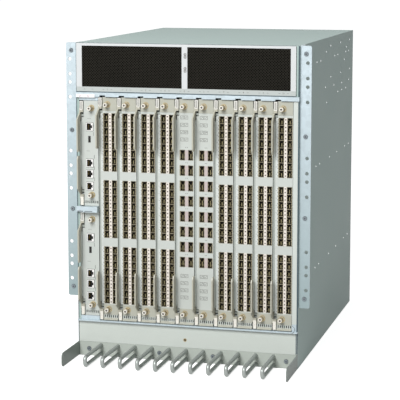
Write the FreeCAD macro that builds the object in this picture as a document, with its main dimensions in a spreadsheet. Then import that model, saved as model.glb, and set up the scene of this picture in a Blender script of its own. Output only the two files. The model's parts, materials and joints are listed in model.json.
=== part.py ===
"""Modular chassis switch, 14 rack units high, seen from its port side.

The frame: X runs to the right along the front, Y runs from the front to the rear, Z is up.
The origin is the centre of the chassis footprint, on the surface that it stands on.
"""
import FreeCAD, Part
import Sketcher
import math
import os

doc = FreeCAD.newDocument("chassis_switch")

# ---------------------------------------------------------------- driving sizes, millimetres
SIZES = [
    # sheets, boards and clearances
    ("cover_sheet", 1.5, "outer cover, bezels and card face plates"),
    ("frame_sheet", 2.0, "base pan, rear bulkhead, rack ears"),
    ("shelf_sheet", 2.5, "card cage shelves"),
    ("board_sheet", 2.4, "circuit boards of the cards"),
    ("backplane_sheet", 5.0, "backplane"),
    ("seat_gap", 0.3, "clearance between fixed neighbours"),
    ("slide_gap", 0.6, "clearance of a sliding card or module"),
    # the slots, left to right
    ("slot_pitch", 38.15, "distance from one card to the next"),
    ("left_margin", 5.9, "chassis side to the first slot"),
    ("filler_width", 11.4, "last slot to the chassis side"),
    # the front, bottom to top
    ("comb_lift", 0.8, "cable comb above the ground"),
    ("comb_height", 27.2, "cable comb plate"),
    ("lower_bezel_height", 41.7, "plain panel above the comb"),
    ("card_height", 436.0, "full height card"),
    ("rail_height", 8.0, "zinc rail above the cards"),
    ("vent_height", 93.2, "vent bezel"),
    ("vent_sill", 10.4, "vent bezel below its grilles"),
    ("vent_head", 4.2, "vent bezel above its grilles"),
    ("vent_stile", 12.0, "vent bezel at the left of its grilles"),
    ("vent_right_stile", 10.0, "vent bezel at the right of its grilles"),
    ("vent_right_gap", 7.0, "vent bezel to the right side of the chassis"),
    ("vent_fold_gap", 0.8, "vent bezel to the cover's front fold"),
    ("vent_mullion", 11.0, "vent bezel between its grilles"),
    ("rail_reach", 3.0, "upper rail in front of the cards"),
    ("ledge_reach", 6.0, "lower rail in front of the cards"),
    ("rail_window_width", 11.0, "slot in the upper rail above a lever"),
    ("rail_window_height", 2.7, "slot in the upper rail above a lever"),
    ("end_block_height", 13.7, "zinc block at the right end of the lower rail"),
    ("ground_jack", 4.4, "diameter of the grounding jack"),
    ("ground_jack_place", 216.4, "chassis side to the grounding jack"),
    ("ground_jack_rise", 15.0, "grounding jack above the panel's lower edge"),
    # front to back
    ("card_bay_depth", 410.0, "front plane to the backplane"),
    ("rear_bay_depth", 195.0, "backplane to the rear"),
    ("card_setback", 1.0, "card face behind the front plane"),
    ("header_depth", 10.0, "backplane header"),
    ("header_width", 10.0, "backplane header and card connector"),
    ("header_height", 60.0, "backplane header and card connector"),
    ("header_first", 60.0, "first header above the lower edge of a card"),
    ("header_step", 130.0, "from one header to the next"),
    ("connector_depth", 14.0, "connector on a card"),
    # cards
    ("lever_gap", 4.2, "slot edge to the card face, where the levers lie"),
    ("face_gap", 0.4, "card face to the next slot"),
    ("flange_depth", 14.0, "folded edge of a card face"),
    ("flange_sheet", 1.2, "folded edge of a card face"),
    ("board_place", 22.4, "slot edge to the circuit board"),
    ("rib_height", 3.0, "card guide rib above a card's lower edge"),
    ("rib_sheet", 1.5, "card guide rib"),
    ("rib_setback", 25.0, "card guide rib behind the front plane"),
    ("socket_width", 9.2, "small transceiver socket, across the card"),
    ("socket_height", 13.2, "small transceiver socket, along the card"),
    ("socket_step", 14.1, "from one small socket to the next"),
    ("socket_depth", 44.0, "transceiver socket"),
    ("socket_left", 11.2, "slot edge to the left sockets"),
    ("socket_right", 26.8, "slot edge to the right sockets"),
    ("bank_first", 33.2, "first bank of sockets above the card's lower edge"),
    ("bank_step", 129.8, "from one bank of sockets to the next"),
    ("cage_wall", 0.8, "wall of a socket cage"),
    ("wide_socket_width", 8.6, "double density socket, across the card"),
    ("wide_socket_height", 19.1, "double density socket, along the card"),
    ("wide_socket_step", 29.5, "from one double density socket to the next"),
    ("wide_socket_left", 10.8, "slot edge to the left double density sockets"),
    ("wide_socket_right", 26.6, "slot edge to the right double density sockets"),
    ("wide_socket_first", 113.0, "first double density socket above the card's edge"),
    ("screw_place", 17.2, "slot edge to the captive screws"),
    ("control_screw_place", 22.9, "slot edge to the captive screws of a control card"),
    ("screw_top", 14.4, "captive screw below the card's upper edge"),
    ("screw_bottom", 21.2, "captive screw above the card's lower edge"),
    ("screw_head", 8.0, "diameter of a captive screw head"),
    ("screw_stand", 8.0, "captive screw head in front of the face"),
    ("screw_collar", 11.0, "diameter of a captive screw collar"),
    ("screw_collar_stand", 1.6, "captive screw collar in front of the face"),
    ("air_slot_width", 1.8, "air slot at the foot of a card"),
    ("air_slot_height", 5.0, "air slot at the foot of a card"),
    ("air_slot_place", 10.8, "slot edge to the first air slot"),
    ("air_slot_step", 4.0, "from one air slot to the next"),
    # control cards, two of them one above the other
    ("control_inset", 7.6, "filler above and below the control cards"),
    ("control_divider", 12.0, "space between the control cards"),
    ("divider_reach", 10.0, "divider in front of the cards"),
    ("divider_ear_reach", 5.0, "divider's ear in front of the cards"),
    ("jack_place", 15.0, "slot edge to the network jacks"),
    ("jack_width", 11.0, "network jack, across the card"),
    ("jack_height", 13.0, "network jack, along the card"),
    ("jack_depth", 14.0, "network jack"),
    ("jack_lip", 1.2, "metal shell round a network jack"),
    ("jack_one", 50.4, "first jack below the card's upper edge"),
    ("jack_two", 121.0, "second jack below the card's upper edge"),
    ("jack_three", 142.0, "third jack below the card's upper edge"),
    ("jack_four", 166.0, "fourth jack below the card's upper edge"),
    ("usb_place", 17.4, "slot edge to the data port"),
    ("usb_width", 5.0, "data port, across the card"),
    ("usb_height", 12.8, "data port, along the card"),
    ("usb_drop", 74.7, "data port below the card's upper edge"),
    # ejector levers
    ("pivot_inset", 22.0, "lever pivot from the edge of the card"),
    ("pivot_setback", 4.0, "lever pivot behind the card face"),
    ("pivot_pin", 4.0, "diameter of the lever's pin"),
    ("pin_gap", 0.3, "clearance round the lever's pin"),
    ("lever_side", 2.5, "thickness of the lever's grip"),
    ("lever_width", 7.6, "width of the lever's head"),
    ("lever_inset", 0.4, "slot edge to the lever"),
    ("tab_stand", 3.0, "lever's tab in front of the card face"),
    ("tab_sheet", 2.5, "thickness of the lever's tab"),
    ("tab_width", 5.4, "width of the lever's tab"),
    ("tab_edge_gap", 1.0, "lever's tab below the edge of the card"),
    ("head_length", 13.0, "height of the lever's head"),
    ("head_rise", 7.8, "lever's head above its pivot"),
    ("neck_drop", 13.0, "pivot to the grip's shoulder"),
    ("grip_reach", 20.0, "grip in front of the card face"),
    ("grip_depth", 15.0, "front to back of the grip"),
    ("lever_length", 98.0, "edge of the card to the end of the grip"),
    ("grip_taper", 5.0, "slope at the end of the grip"),
    ("lever_pocket_depth", 24.0, "recess that the lever's tab swings into"),
    ("lever_pocket_drop", 9.1, "recess below the lever's pivot"),
    # cable comb
    ("comb_reach", 102.0, "comb loops in front of the front plane"),
    ("wing_reach", 101.0, "comb wings in front of the front plane"),
    ("wing_round", 8.0, "radius of the wings' corners"),
    ("loop_rod", 7.8, "diameter of a comb loop's rod"),
    ("loop_height", 16.6, "between the rods of a loop"),
    ("loop_lift", 1.4, "lower rod above the comb's lower edge"),
    ("loop_bend", 7.0, "bend radius of a loop"),
    ("loop_pitch", 34.4, "from one loop to the next"),
    ("comb_screw_outer", 21.8, "chassis side to the outer comb screws"),
    ("comb_screw_inner", 165.0, "chassis side to the inner comb screws"),
    # rack ears
    ("ear_reach", 21.2, "ear beside the chassis"),
    ("ear_setback", 5.0, "ear behind the front plane"),
    ("ear_length", 495.0, "ear from the top of the chassis down"),
    ("ear_leg", 40.0, "ear's leg along the side"),
    ("ear_hole", 7.0, "diameter of a rack hole"),
    ("ear_hole_place", 14.05, "chassis side to the rack holes"),
    ("ear_hole_drop", 32.0, "top of the chassis to the first rack hole"),
    ("ear_hole_near", 15.875, "between the middle holes of a set"),
    ("ear_hole_far", 28.575, "from an outer hole of a set to the next"),
    ("ear_hole_set", 177.8, "from one set of rack holes to the next"),
    ("ear_round", 3.5, "radius of the ear's corners"),
    ("ear_screw_drop", 15.2, "top of the chassis to the first ear screw"),
    ("ear_screw_end", 17.8, "last ear screw above the ear's lower end"),
    ("ear_screw_place", 11.0, "chassis side to the ear screws"),
    ("pan_head", 7.6, "diameter of a pan head screw"),
    ("pan_stand", 1.8, "height of a pan head"),
    ("pan_shank", 3.0, "diameter of a small screw's shank"),
    ("pan_shank_length", 3.6, "small screw's shank"),
    ("shank_gap", 0.2, "clearance round a small screw's shank"),
    # the rear
    ("supply_height", 88.0, "power supply"),
    ("supply_depth", 320.0, "power supply"),
    ("bay_bar", 3.0, "bar between two bays"),
    ("fan_headroom", 28.0, "fan modules below the deck of the power supplies"),
    ("fan_width", 134.0, "fan module"),
    ("fan_depth", 185.0, "fan module"),
    ("fan_deck_height", 300.0, "deck that carries the fan modules"),
    ("fan_bore", 126.0, "air duct of a fan module"),
    ("rotor_gap", 1.5, "clearance at the tips of a rotor"),
    ("rotor_hub", 46.0, "diameter of a rotor's hub"),
    ("rotor_depth", 28.0, "depth of a rotor"),
    ("vane_width", 25.2, "vane of a rotor"),
    ("vane_root", 7.7, "vane's root inside the hub"),
    ("rotor_shaft", 6.0, "diameter of a rotor's shaft"),
    ("strut_width", 12.0, "strut that carries the fan motor"),
    ("strut_depth", 6.0, "strut that carries the fan motor"),
    ("motor_depth", 22.0, "fan motor"),
    ("handle_reach", 30.0, "handle behind its module"),
    ("handle_bar", 8.0, "bar of a handle"),
    ("handle_span", 70.0, "handle of a module"),
    ("module_sheet", 1.5, "walls of a module"),
    ("supply_handle_place", 26.0, "side of a power supply to its handle"),
    ("inlet_place", 52.0, "side of a power supply to its mains inlet"),
    ("inlet_rise", 13.0, "mains inlet above the foot of a power supply"),
    ("inlet_size", 28.0, "mains inlet"),
    ("supply_vent_height", 2.5, "air slot of a power supply"),
    ("supply_vent_step", 5.0, "from one air slot of a power supply to the next"),
    ("louvre_place", 20.5, "bar between two bays to a louvre"),
    ("louvre_width", 82.0, "louvre of the rear bulkhead"),
    ("louvre_height", 5.0, "louvre of the rear bulkhead"),
    ("louvre_step", 15.0, "from one louvre to the next"),
]

sheet = doc.addObject("Spreadsheet::Sheet", "sizes")
for row, (alias, number, meaning) in enumerate(SIZES, 1):
    sheet.set(f"A{row}", alias)
    sheet.set(f"B{row}", str(number))
    sheet.setAlias(f"B{row}", alias)
    sheet.set(f"C{row}", meaning)
doc.recompute()


class Size:
    """A length that keeps its number together with the formula on the sheet's cells."""

    def __init__(self, formula, number):
        self.formula = formula
        self.number = float(number)

    def __add__(self, other):
        other = as_size(other)
        return Size(f"({self.formula} + {other.formula})", self.number + other.number)

    def __radd__(self, other):
        return as_size(other) + self

    def __sub__(self, other):
        other = as_size(other)
        return Size(f"({self.formula} - {other.formula})", self.number - other.number)

    def __rsub__(self, other):
        return as_size(other) - self

    def __mul__(self, factor):
        return Size(f"({self.formula} * {factor})", self.number * factor)

    __rmul__ = __mul__

    def __truediv__(self, divisor):
        return Size(f"({self.formula} / {divisor})", self.number / divisor)

    def __neg__(self):
        return self * -1


def as_size(value):
    return value if isinstance(value, Size) else Size(repr(float(value)), value)


def cell(alias):
    return Size(f"sizes.{alias}", sheet.get(alias))


def bind(thing, prop, value):
    """Ties a property to the sheet."""
    thing.setExpression(prop, as_size(value).formula)


def place(thing, x, y, z):
    """Ties the position of an object or a feature to the sheet."""
    for axis, value in zip("xyz", (x, y, z)):
        bind(thing, f"Placement.Base.{axis}", value)


# ---------------------------------------------------------------- building blocks
PAST = 1  # how far a cut reaches past a face
LAP = 1  # how far a block reaches into the block that it is joined to
parts = []


def keep(thing, label):
    thing.Label = label
    parts.append(thing)
    return thing


def new_body(label):
    return keep(doc.addObject("PartDesign::Body", label), label)


def origin_feature(body, role):
    return next(item for item in body.Origin.OriginFeatures if item.Role == role)


def box(body, name, corner, dimensions, kind="Additive"):
    """A box from its lowest corner and its length, width and height."""
    feature = body.newObject(f"PartDesign::{kind}Box", name)
    for prop, value in zip(("Length", "Width", "Height"), dimensions):
        bind(feature, prop, value)
    place(feature, *corner)
    return feature


def cut_box(body, name, corner, dimensions):
    return box(body, name, corner, dimensions, "Subtractive")


def new_sketch(body, name, plane, offset=0):
    """A sketch on one of the body's origin planes, moved along the plane's normal."""
    sketch = body.newObject("Sketcher::SketchObject", name)
    sketch.AttachmentSupport = [(origin_feature(body, plane), "")]
    sketch.MapMode = "FlatFace"
    bind(sketch, "AttachmentOffset.Base.z", offset)
    return sketch


def constrain(sketch, label, kind, *geometry_and_value):
    """Adds a named dimension to a sketch and ties it to the sheet."""
    *geometry, value = geometry_and_value
    index = sketch.addConstraint(Sketcher.Constraint(kind, *geometry, as_size(value).number))
    sketch.renameConstraint(index, label)
    bind(sketch, f"Constraints.{label}", value)


def round_profile(body, name, plane, offset, centre, diameter):
    """A sketch of one circle."""
    sketch = new_sketch(body, name, plane, offset)
    u, v = centre
    middle = FreeCAD.Vector(as_size(u).number, as_size(v).number, 0)
    sketch.addGeometry(Part.Circle(middle, FreeCAD.Vector(0, 0, 1), diameter.number / 2), False)
    constrain(sketch, "across", "Diameter", 0, diameter)
    constrain(sketch, "centre_u", "DistanceX", -1, 1, 0, 3, u)
    constrain(sketch, "centre_v", "DistanceY", -1, 1, 0, 3, v)
    return sketch


def cylinder(body, name, start, diameter, length, along, kind="Pad"):
    """A round bar, or a hole, from the centre of its first end along one axis."""
    x, y, z = start
    plane, offset, centre = {
        "X": ("YZ_Plane", x, (y, z)),
        "Y": ("XZ_Plane", -as_size(y), (x, z)),
        "Z": ("XY_Plane", z, (x, y)),
    }[along]
    profile = round_profile(body, f"{name}_profile", plane, offset, centre, diameter)
    feature = body.newObject(f"PartDesign::{kind}", name)
    feature.Profile = profile
    bind(feature, "Length", length)
    feature.Reversed = (along == "Y") == (kind == "Pad")
    body.Tip = feature
    return feature


def cut_cylinder(body, name, start, diameter, length, along):
    return cylinder(body, name, start, diameter, length, along, "Pocket")


def row_of(body, name, originals, along, step, count):
    """Repeats features in a straight row along an axis, such as "X" or "-Z"."""
    pattern = body.newObject("PartDesign::LinearPattern", name)
    pattern.Originals = originals
    set_row(body, pattern, along, step, count)
    body.Tip = pattern
    return pattern


def set_row(body, pattern, along, step, count):
    pattern.Direction = (origin_feature(body, f"{along[-1]}_Axis"), [""])
    pattern.Reversed = along.startswith("-")
    pattern.Mode = "Spacing"
    bind(pattern, "Offset", step)
    pattern.Occurrences = count


def grid_of(body, name, originals, rows):
    """Repeats features along several axes, each given as (axis, step, count)."""
    grid = body.newObject("PartDesign::MultiTransform", name)
    grid.Originals = originals
    steps = []
    for number, (along, step, count) in enumerate(rows, 1):
        pattern = body.newObject("PartDesign::LinearPattern", f"{name}_{number}")
        set_row(body, pattern, along, step, count)
        steps.append(pattern)
    grid.Transformations = steps
    body.Tip = grid
    return grid


def outline(body, name, plane, offset, points):
    """A closed sketch of straight lines on one of the body's origin planes."""
    sketch = new_sketch(body, name, plane, offset)
    spots = [FreeCAD.Vector(as_size(u).number, as_size(v).number, 0) for u, v in points]
    for number, spot in enumerate(spots):
        sketch.addGeometry(Part.LineSegment(spot, spots[(number + 1) % len(spots)]), False)
    for number in range(len(spots)):
        before = (number - 1) % len(spots)
        sketch.addConstraint(Sketcher.Constraint("Coincident", before, 2, number, 1))
    for number, (u, v) in enumerate(points):
        constrain(sketch, f"corner_{number}_u", "DistanceX", -1, 1, number, 1, u)
        constrain(sketch, f"corner_{number}_v", "DistanceY", -1, 1, number, 1, v)
    return sketch


def pad(body, name, sketch, length):
    feature = body.newObject("PartDesign::Pad", name)
    feature.Profile = sketch
    bind(feature, "Length", length)
    return feature


def round_edges(body, name, radius, belongs):
    """Rounds those edges of the body's last feature whose middle passes the test."""
    doc.recompute()
    base = body.Tip
    names = [f"Edge{number}" for number, edge in enumerate(base.Shape.Edges, 1) if belongs(edge)]
    fillet = body.newObject("PartDesign::Fillet", name)
    fillet.Base = (base, names)
    bind(fillet, "Radius", radius)
    return fillet


def copy_of(source, label, x, y, z):
    """The same piece once more, moved by a distance."""
    copy = doc.addObject("Part::Compound", label)
    copy.Links = [source]
    place(copy, x, y, z)
    return keep(copy, label)


def mirrored(source, label, height):
    """The same piece turned over about a level plane."""
    mirror = doc.addObject("Part::Mirroring", label)
    mirror.Source = source
    mirror.Normal = FreeCAD.Vector(0, 0, 1)
    bind(mirror, "Base.z", height)
    return mirror


# ---------------------------------------------------------------- planes shared by the pieces
CARDS = ["control"] + ["port"] * 4 + ["core"] * 2 + ["port"] * 4
SLOTS = len(CARDS)

seat = cell("seat_gap")
slide = cell("slide_gap")
skin = cell("cover_sheet")
shelf = cell("shelf_sheet")
pitch = cell("slot_pitch")

width = cell("left_margin") + pitch * SLOTS + cell("filler_width")
left = width / -2
right = width / 2
first_slot = left + cell("left_margin")
last_slot_end = first_slot + pitch * SLOTS

depth = cell("card_bay_depth") + cell("backplane_sheet") + cell("rear_bay_depth")
front = depth / -2
rear = depth / 2
cover_front = front + skin
backplane_front = front + cell("card_bay_depth")
backplane_rear = backplane_front + cell("backplane_sheet")

comb_top = cell("comb_lift") + cell("comb_height")
comb_screw_x = [left + cell("comb_screw_outer"), left + cell("comb_screw_inner"),
                right - cell("comb_screw_inner"), right - cell("comb_screw_outer")]
comb_screw_z = cell("comb_lift") + cell("comb_height") / 2
shank_hole = cell("pan_shank") + 2 * cell("shank_gap")
bezel_bottom = comb_top + seat
bezel_top = bezel_bottom + cell("lower_bezel_height")
lower_shelf_bottom = bezel_top + seat
lower_shelf_top = lower_shelf_bottom + shelf
card_bottom = lower_shelf_top + slide
card_top = card_bottom + cell("card_height")
rail_bottom = card_top + slide
upper_shelf_top = rail_bottom + cell("rail_height")
upper_shelf_bottom = upper_shelf_top - shelf
vent_bottom = upper_shelf_top + seat
vent_top = vent_bottom + cell("vent_height")
height = vent_top + skin
card_front = front + cell("card_setback")


def slot_left(number):
    return first_slot + pitch * number


# ---------------------------------------------------------------- ejector lever
def build_lever(label):
    """The upper lever of a card. Its frame is on the pivot's axis, at the slot's left edge."""
    body = new_body(label)
    pivot_y = cell("pivot_setback")
    tab_front = -(pivot_y + cell("tab_stand"))
    grip_front = -(pivot_y + cell("grip_reach"))
    grip_back = grip_front + cell("grip_depth")
    tab_top = cell("pivot_inset") - cell("tab_edge_gap")
    head_top = cell("head_rise")
    head_back = pivot_y
    shoulder = -cell("neck_drop")
    grip_end = cell("pivot_inset") - cell("lever_length")
    taper = cell("grip_taper")
    side = outline(body, "side", "YZ_Plane", cell("lever_inset"), [
        (tab_front, head_top),
        (head_back, head_top),
        (head_back, head_top - cell("head_length")),
        (grip_back, shoulder - taper),
        (grip_back, grip_end + taper),
        (grip_back - taper / 2, grip_end),
        (grip_front + taper / 2, grip_end),
        (grip_front, grip_end + taper),
        (grip_front, shoulder),
        (tab_front, head_top - cell("head_length") + taper),
    ])
    pad(body, "side_plate", side, cell("lever_side"))
    box(body, "head", (cell("lever_inset"), tab_front, head_top - cell("head_length") + taper),
        (cell("lever_width"), head_back - tab_front, cell("head_length") - taper))
    tab_left = cell("lever_inset") + cell("lever_width") - cell("tab_width")
    box(body, "tab", (tab_left, tab_front, 0), (cell("tab_width"), cell("tab_sheet"), tab_top))
    box(body, "tab_web", (tab_left, tab_front, 0),
        (cell("lever_side"), head_back - tab_front, tab_top - taper))
    cut_cylinder(body, "pin_hole", (0, 0, 0), cell("pivot_pin") + 2 * cell("pin_gap"),
                 cell("lever_inset") + cell("lever_width") + PAST, "X")
    return body


# ---------------------------------------------------------------- cards
AIR_SLOTS = 7


def build_card(label, card_height, screw_left):
    """A card's face, board and fasteners. Its frame is on the slot's left edge, the card's
    face and the card's lower edge."""
    body = new_body(label)
    gap = cell("lever_gap")
    face_width = pitch - gap - cell("face_gap")
    fold = cell("flange_sheet")
    deep = cell("flange_depth")
    box(body, "face", (gap, 0, 0), (face_width, deep, card_height))
    cut_box(body, "face_hollow", (gap + fold, skin, fold),
            (face_width - 2 * fold, deep, card_height - 2 * fold))
    # the recesses at both ends of the left edge, where the levers' heads and tabs swing
    wall = cell("lever_inset") + cell("lever_width") + slide
    tall = cell("pivot_inset") + cell("lever_pocket_drop")
    for name, foot in (("upper", card_height - tall), ("lower", as_size(0))):
        cut_box(body, f"{name}_lever_recess", (0, -PAST, foot - PAST),
                (wall, cell("lever_pocket_depth") + PAST, tall + 2 * PAST))
        box(body, f"{name}_pivot_bracket", (wall, 0, foot),
            (fold, cell("lever_pocket_depth"), tall))
    for name, level in (("upper", card_height - cell("pivot_inset")),
                        ("lower", cell("pivot_inset"))):
        cylinder(body, f"{name}_pivot_pin", (cell("lever_inset"), cell("pivot_setback"), level),
                 cell("pivot_pin"), wall - cell("lever_inset"), "X")
    # circuit board
    board_depth = (cell("card_bay_depth") - cell("card_setback") - cell("header_depth") - slide
                   - cell("connector_depth"))
    edge = fold / 2
    box(body, "board", (cell("board_place"), skin / 2, edge),
        (cell("board_sheet"), board_depth - skin / 2, card_height - 2 * edge))
    # captive screws
    for name, level in (("upper", card_height - cell("screw_top")),
                        ("lower", cell("screw_bottom"))):
        for part, diameter, stand in (
                ("collar", cell("screw_collar"), cell("screw_collar_stand")),
                ("head", cell("screw_head"), cell("screw_stand"))):
            cylinder(body, f"{name}_screw_{part}", (screw_left, -stand, level), diameter,
                     stand + skin, "Y")
    # air slots at the foot of the face
    slot = cut_box(body, "air_slot", (cell("air_slot_place"), -PAST, cell("air_slot_height")),
                   (cell("air_slot_width"), skin + 2 * PAST, cell("air_slot_height")))
    row_of(body, "air_slots", [slot], "X", cell("air_slot_step"), AIR_SLOTS)
    return body


def add_connectors(body, levels):
    """Connectors on the rear edge of a card's board."""
    start = (cell("card_bay_depth") - cell("card_setback") - cell("header_depth") - slide
             - cell("connector_depth"))
    for number, level in enumerate(levels, 1):
        box(body, f"connector_{number}", (header_left(), start - LAP, level),
            (cell("header_width"), cell("connector_depth") + LAP, cell("header_height")))


def header_left():
    """Slot edge to the backplane headers, which are centred on the boards."""
    return cell("board_place") + cell("board_sheet") / 2 - cell("header_width") / 2


def build_port_card(label):
    """A card with 48 small transceiver sockets in three banks of eight rows."""
    body = build_card(label, cell("card_height"), cell("screw_place"))
    add_connectors(body, [cell("header_first") + cell("header_step") * n for n in range(3)])
    wall = cell("cage_wall")
    low = cell("bank_first")
    bank = box(body, "cage_bank", (cell("socket_left") - wall, skin / 2, low - wall),
               (cell("socket_right") - cell("socket_left") + cell("socket_width") + 2 * wall,
                cell("socket_depth") + wall,
                cell("socket_step") * 7 + cell("socket_height") + 2 * wall))
    row_of(body, "cage_banks", [bank], "Z", cell("bank_step"), 3)
    socket = cut_box(body, "socket", (cell("socket_left"), -PAST, low),
                     (cell("socket_width"), cell("socket_depth") + PAST,
                      cell("socket_height")))
    grid_of(body, "sockets", [socket], [
        ("Z", cell("socket_step"), 8),
        ("X", cell("socket_right") - cell("socket_left"), 2),
        ("Z", cell("bank_step"), 3),
    ])
    return body


def build_core_card(label):
    """A card with 16 double density sockets, one cage for each row."""
    body = build_card(label, cell("card_height"), cell("screw_place"))
    add_connectors(body, [cell("header_first") + cell("header_step") * n for n in range(3)])
    wall = cell("cage_wall")
    low = cell("wide_socket_first")
    across = cell("wide_socket_right") - cell("wide_socket_left")
    cage = box(body, "cage", (cell("wide_socket_left") - wall, skin / 2, low - wall),
               (across + cell("wide_socket_width") + 2 * wall, cell("socket_depth") + wall,
                cell("wide_socket_height") + 2 * wall))
    row_of(body, "cages", [cage], "Z", cell("wide_socket_step"), 8)
    socket = cut_box(body, "socket", (cell("wide_socket_left"), -PAST, low),
                     (cell("wide_socket_width"), cell("socket_depth") + PAST,
                      cell("wide_socket_height")))
    grid_of(body, "sockets", [socket],
            [("Z", cell("wide_socket_step"), 8), ("X", across, 2)])
    return body


control_height = (cell("card_height") - 2 * cell("control_inset") - cell("control_divider")) / 2
control_low = card_bottom + cell("control_inset")
control_step = control_height + cell("control_divider")
jack_wide = cell("jack_width")
jack_tall = cell("jack_height")


def build_control_card(label):
    """A half height card with four network jacks and a data port."""
    body = build_card(label, control_height, cell("control_screw_place"))
    add_connectors(body, [cell("header_first")])
    lip = cell("jack_lip")
    for number, drop in enumerate(("jack_one", "jack_two", "jack_three", "jack_four"), 1):
        level = control_height - cell(drop) - jack_tall / 2
        box(body, f"jack_shell_{number}", (cell("jack_place") - lip, -lip, level - lip),
            (jack_wide + 2 * lip, cell("jack_depth") + 2 * lip, jack_tall + 2 * lip))
        cut_box(body, f"jack_{number}", (cell("jack_place"), -lip - PAST, level),
                (jack_wide, cell("jack_depth") + lip + PAST, jack_tall))
    level = control_height - cell("usb_drop") - cell("usb_height") / 2
    box(body, "data_port_shell", (cell("usb_place") - lip, skin / 2, level - lip),
        (cell("usb_width") + 2 * lip, cell("jack_depth"), cell("usb_height") + 2 * lip))
    data_port = cut_box(body, "data_port", (cell("usb_place"), -PAST, level),
                        (cell("usb_width"), cell("jack_depth") - lip, cell("usb_height")))
    body.Tip = data_port
    return body


def card_set(kind, build, card_height, low, names):
    """Builds a card and its two levers once, then repeats them in their slots.

    names gives (card, upper lever, lower lever, slot, rise) for each card of this kind."""
    card, upper, lower, slot, _ = names[0]
    first = build(card)
    x, y = slot_left(slot), card_front
    place(first, x, y, low)
    pivot_y = card_front + cell("pivot_setback")
    lever = build_lever(upper)
    place(lever, x, pivot_y, low + card_height - cell("pivot_inset"))
    middle = low + card_height / 2
    turned = mirrored(lever, f"{kind}_lever_turned", middle)
    copy_of(turned, lower, 0, 0, 0)
    for card, upper, lower, other, rise in names[1:]:
        shift = pitch * (other - slot)
        copy_of(first, card, shift, 0, rise)
        copy_of(lever, upper, shift, 0, rise)
        copy_of(turned, lower, shift, 0, rise)


for kind, build in (("port", build_port_card), ("core", build_core_card)):
    slots = [number for number, card in enumerate(CARDS) if card == kind]
    card_set(kind, build, cell("card_height"), card_bottom, [
        (f"{kind}_card_{n}", f"{kind}_lever_upper_{n}", f"{kind}_lever_lower_{n}", slot, 0)
        for n, slot in enumerate(slots, 1)])

card_set("control", build_control_card, control_height, control_low, [
    (f"control_card_{n}", f"control_lever_upper_{n}", f"control_lever_lower_{n}", 0, rise)
    for n, rise in ((1, as_size(0)), (2, control_step))])

# ---------------------------------------------------------------- folded outer cover
cover = new_body("outer_cover")
box(cover, "block", (left, cover_front, 0), (width, rear - cover_front, height))
cut_box(cover, "hollow", (left + skin, cover_front - PAST, -PAST),
        (width - 2 * skin, depth + 2 * PAST, height - skin + PAST))
# the left side's front edge is folded in beside the first slot
box(cover, "front_fold", (left + skin / 2, cover_front, lower_shelf_top),
    (cell("left_margin") - skin / 2 - seat, skin, rail_bottom - lower_shelf_top))
# the right side's front edge is folded in beside the vent bezel
vent_width = width - cell("vent_right_gap")
box(cover, "vent_fold", (left + vent_width + cell("vent_fold_gap"), cover_front, vent_bottom),
    (cell("vent_right_gap") - cell("vent_fold_gap") - skin / 2, skin, vent_top - vent_bottom))

# ---------------------------------------------------------------- base pan
pan = new_body("base_pan")
pan_sheet = cell("frame_sheet")
pan_width = width - 2 * skin
pan_front = front + skin
box(pan, "block", (left + skin, pan_front, 0),
    (pan_width, rear - pan_front - pan_sheet, comb_top - seat))
cut_box(pan, "hollow", (left + skin + pan_sheet, pan_front + pan_sheet, pan_sheet),
        (pan_width - 2 * pan_sheet, depth - 3 * pan_sheet - skin, comb_top))
for number, x in enumerate(comb_screw_x, 1):
    hole = cut_cylinder(pan, f"screw_hole_{number}", (x, pan_front - PAST, comb_screw_z),
                        shank_hole, pan_sheet + 2 * PAST, "Y")
pan.Tip = hole

# ---------------------------------------------------------------- card cage shelves
inside = width - 2 * skin
rib = cell("rib_sheet")
rib_length = cell("card_bay_depth") - cell("rib_setback") - cell("header_depth") - slide
board_left = cell("board_place")
board_right = board_left + cell("board_sheet")
rib_places = (("left", board_left - slide - rib), ("right", board_right + slide))
ledge_front = front - cell("ledge_reach")
rail_front = front - cell("rail_reach")

lower_shelf = doc.addObject("PartDesign::Body", "lower_shelf")
box(lower_shelf, "plate", (left + skin, cover_front, lower_shelf_bottom),
    (inside, backplane_rear - cover_front, shelf))
box(lower_shelf, "ledge", (left, ledge_front, lower_shelf_bottom),
    (width, cover_front - ledge_front, shelf))
box(lower_shelf, "end_block", (last_slot_end, card_front, lower_shelf_bottom),
    (cell("filler_width") - skin, cell("rib_setback"), shelf + cell("end_block_height")))
box(lower_shelf, "control_foot", (slot_left(0), card_front, lower_shelf_bottom),
    (pitch - cell("face_gap"), rib_length, shelf + cell("control_inset")))
for side, x in rib_places:
    box(lower_shelf, f"control_rib_{side}",
        (slot_left(0) + x, front + cell("rib_setback"), lower_shelf_bottom),
        (rib, rib_length, shelf + cell("control_inset") + slide + cell("rib_height")))
ribs = [box(lower_shelf, f"rib_{side}",
            (slot_left(1) + x, front + cell("rib_setback"), lower_shelf_bottom),
            (rib, rib_length, shelf + slide + cell("rib_height"))) for side, x in rib_places]
row_of(lower_shelf, "ribs", ribs, "X", pitch, SLOTS - 1)

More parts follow.
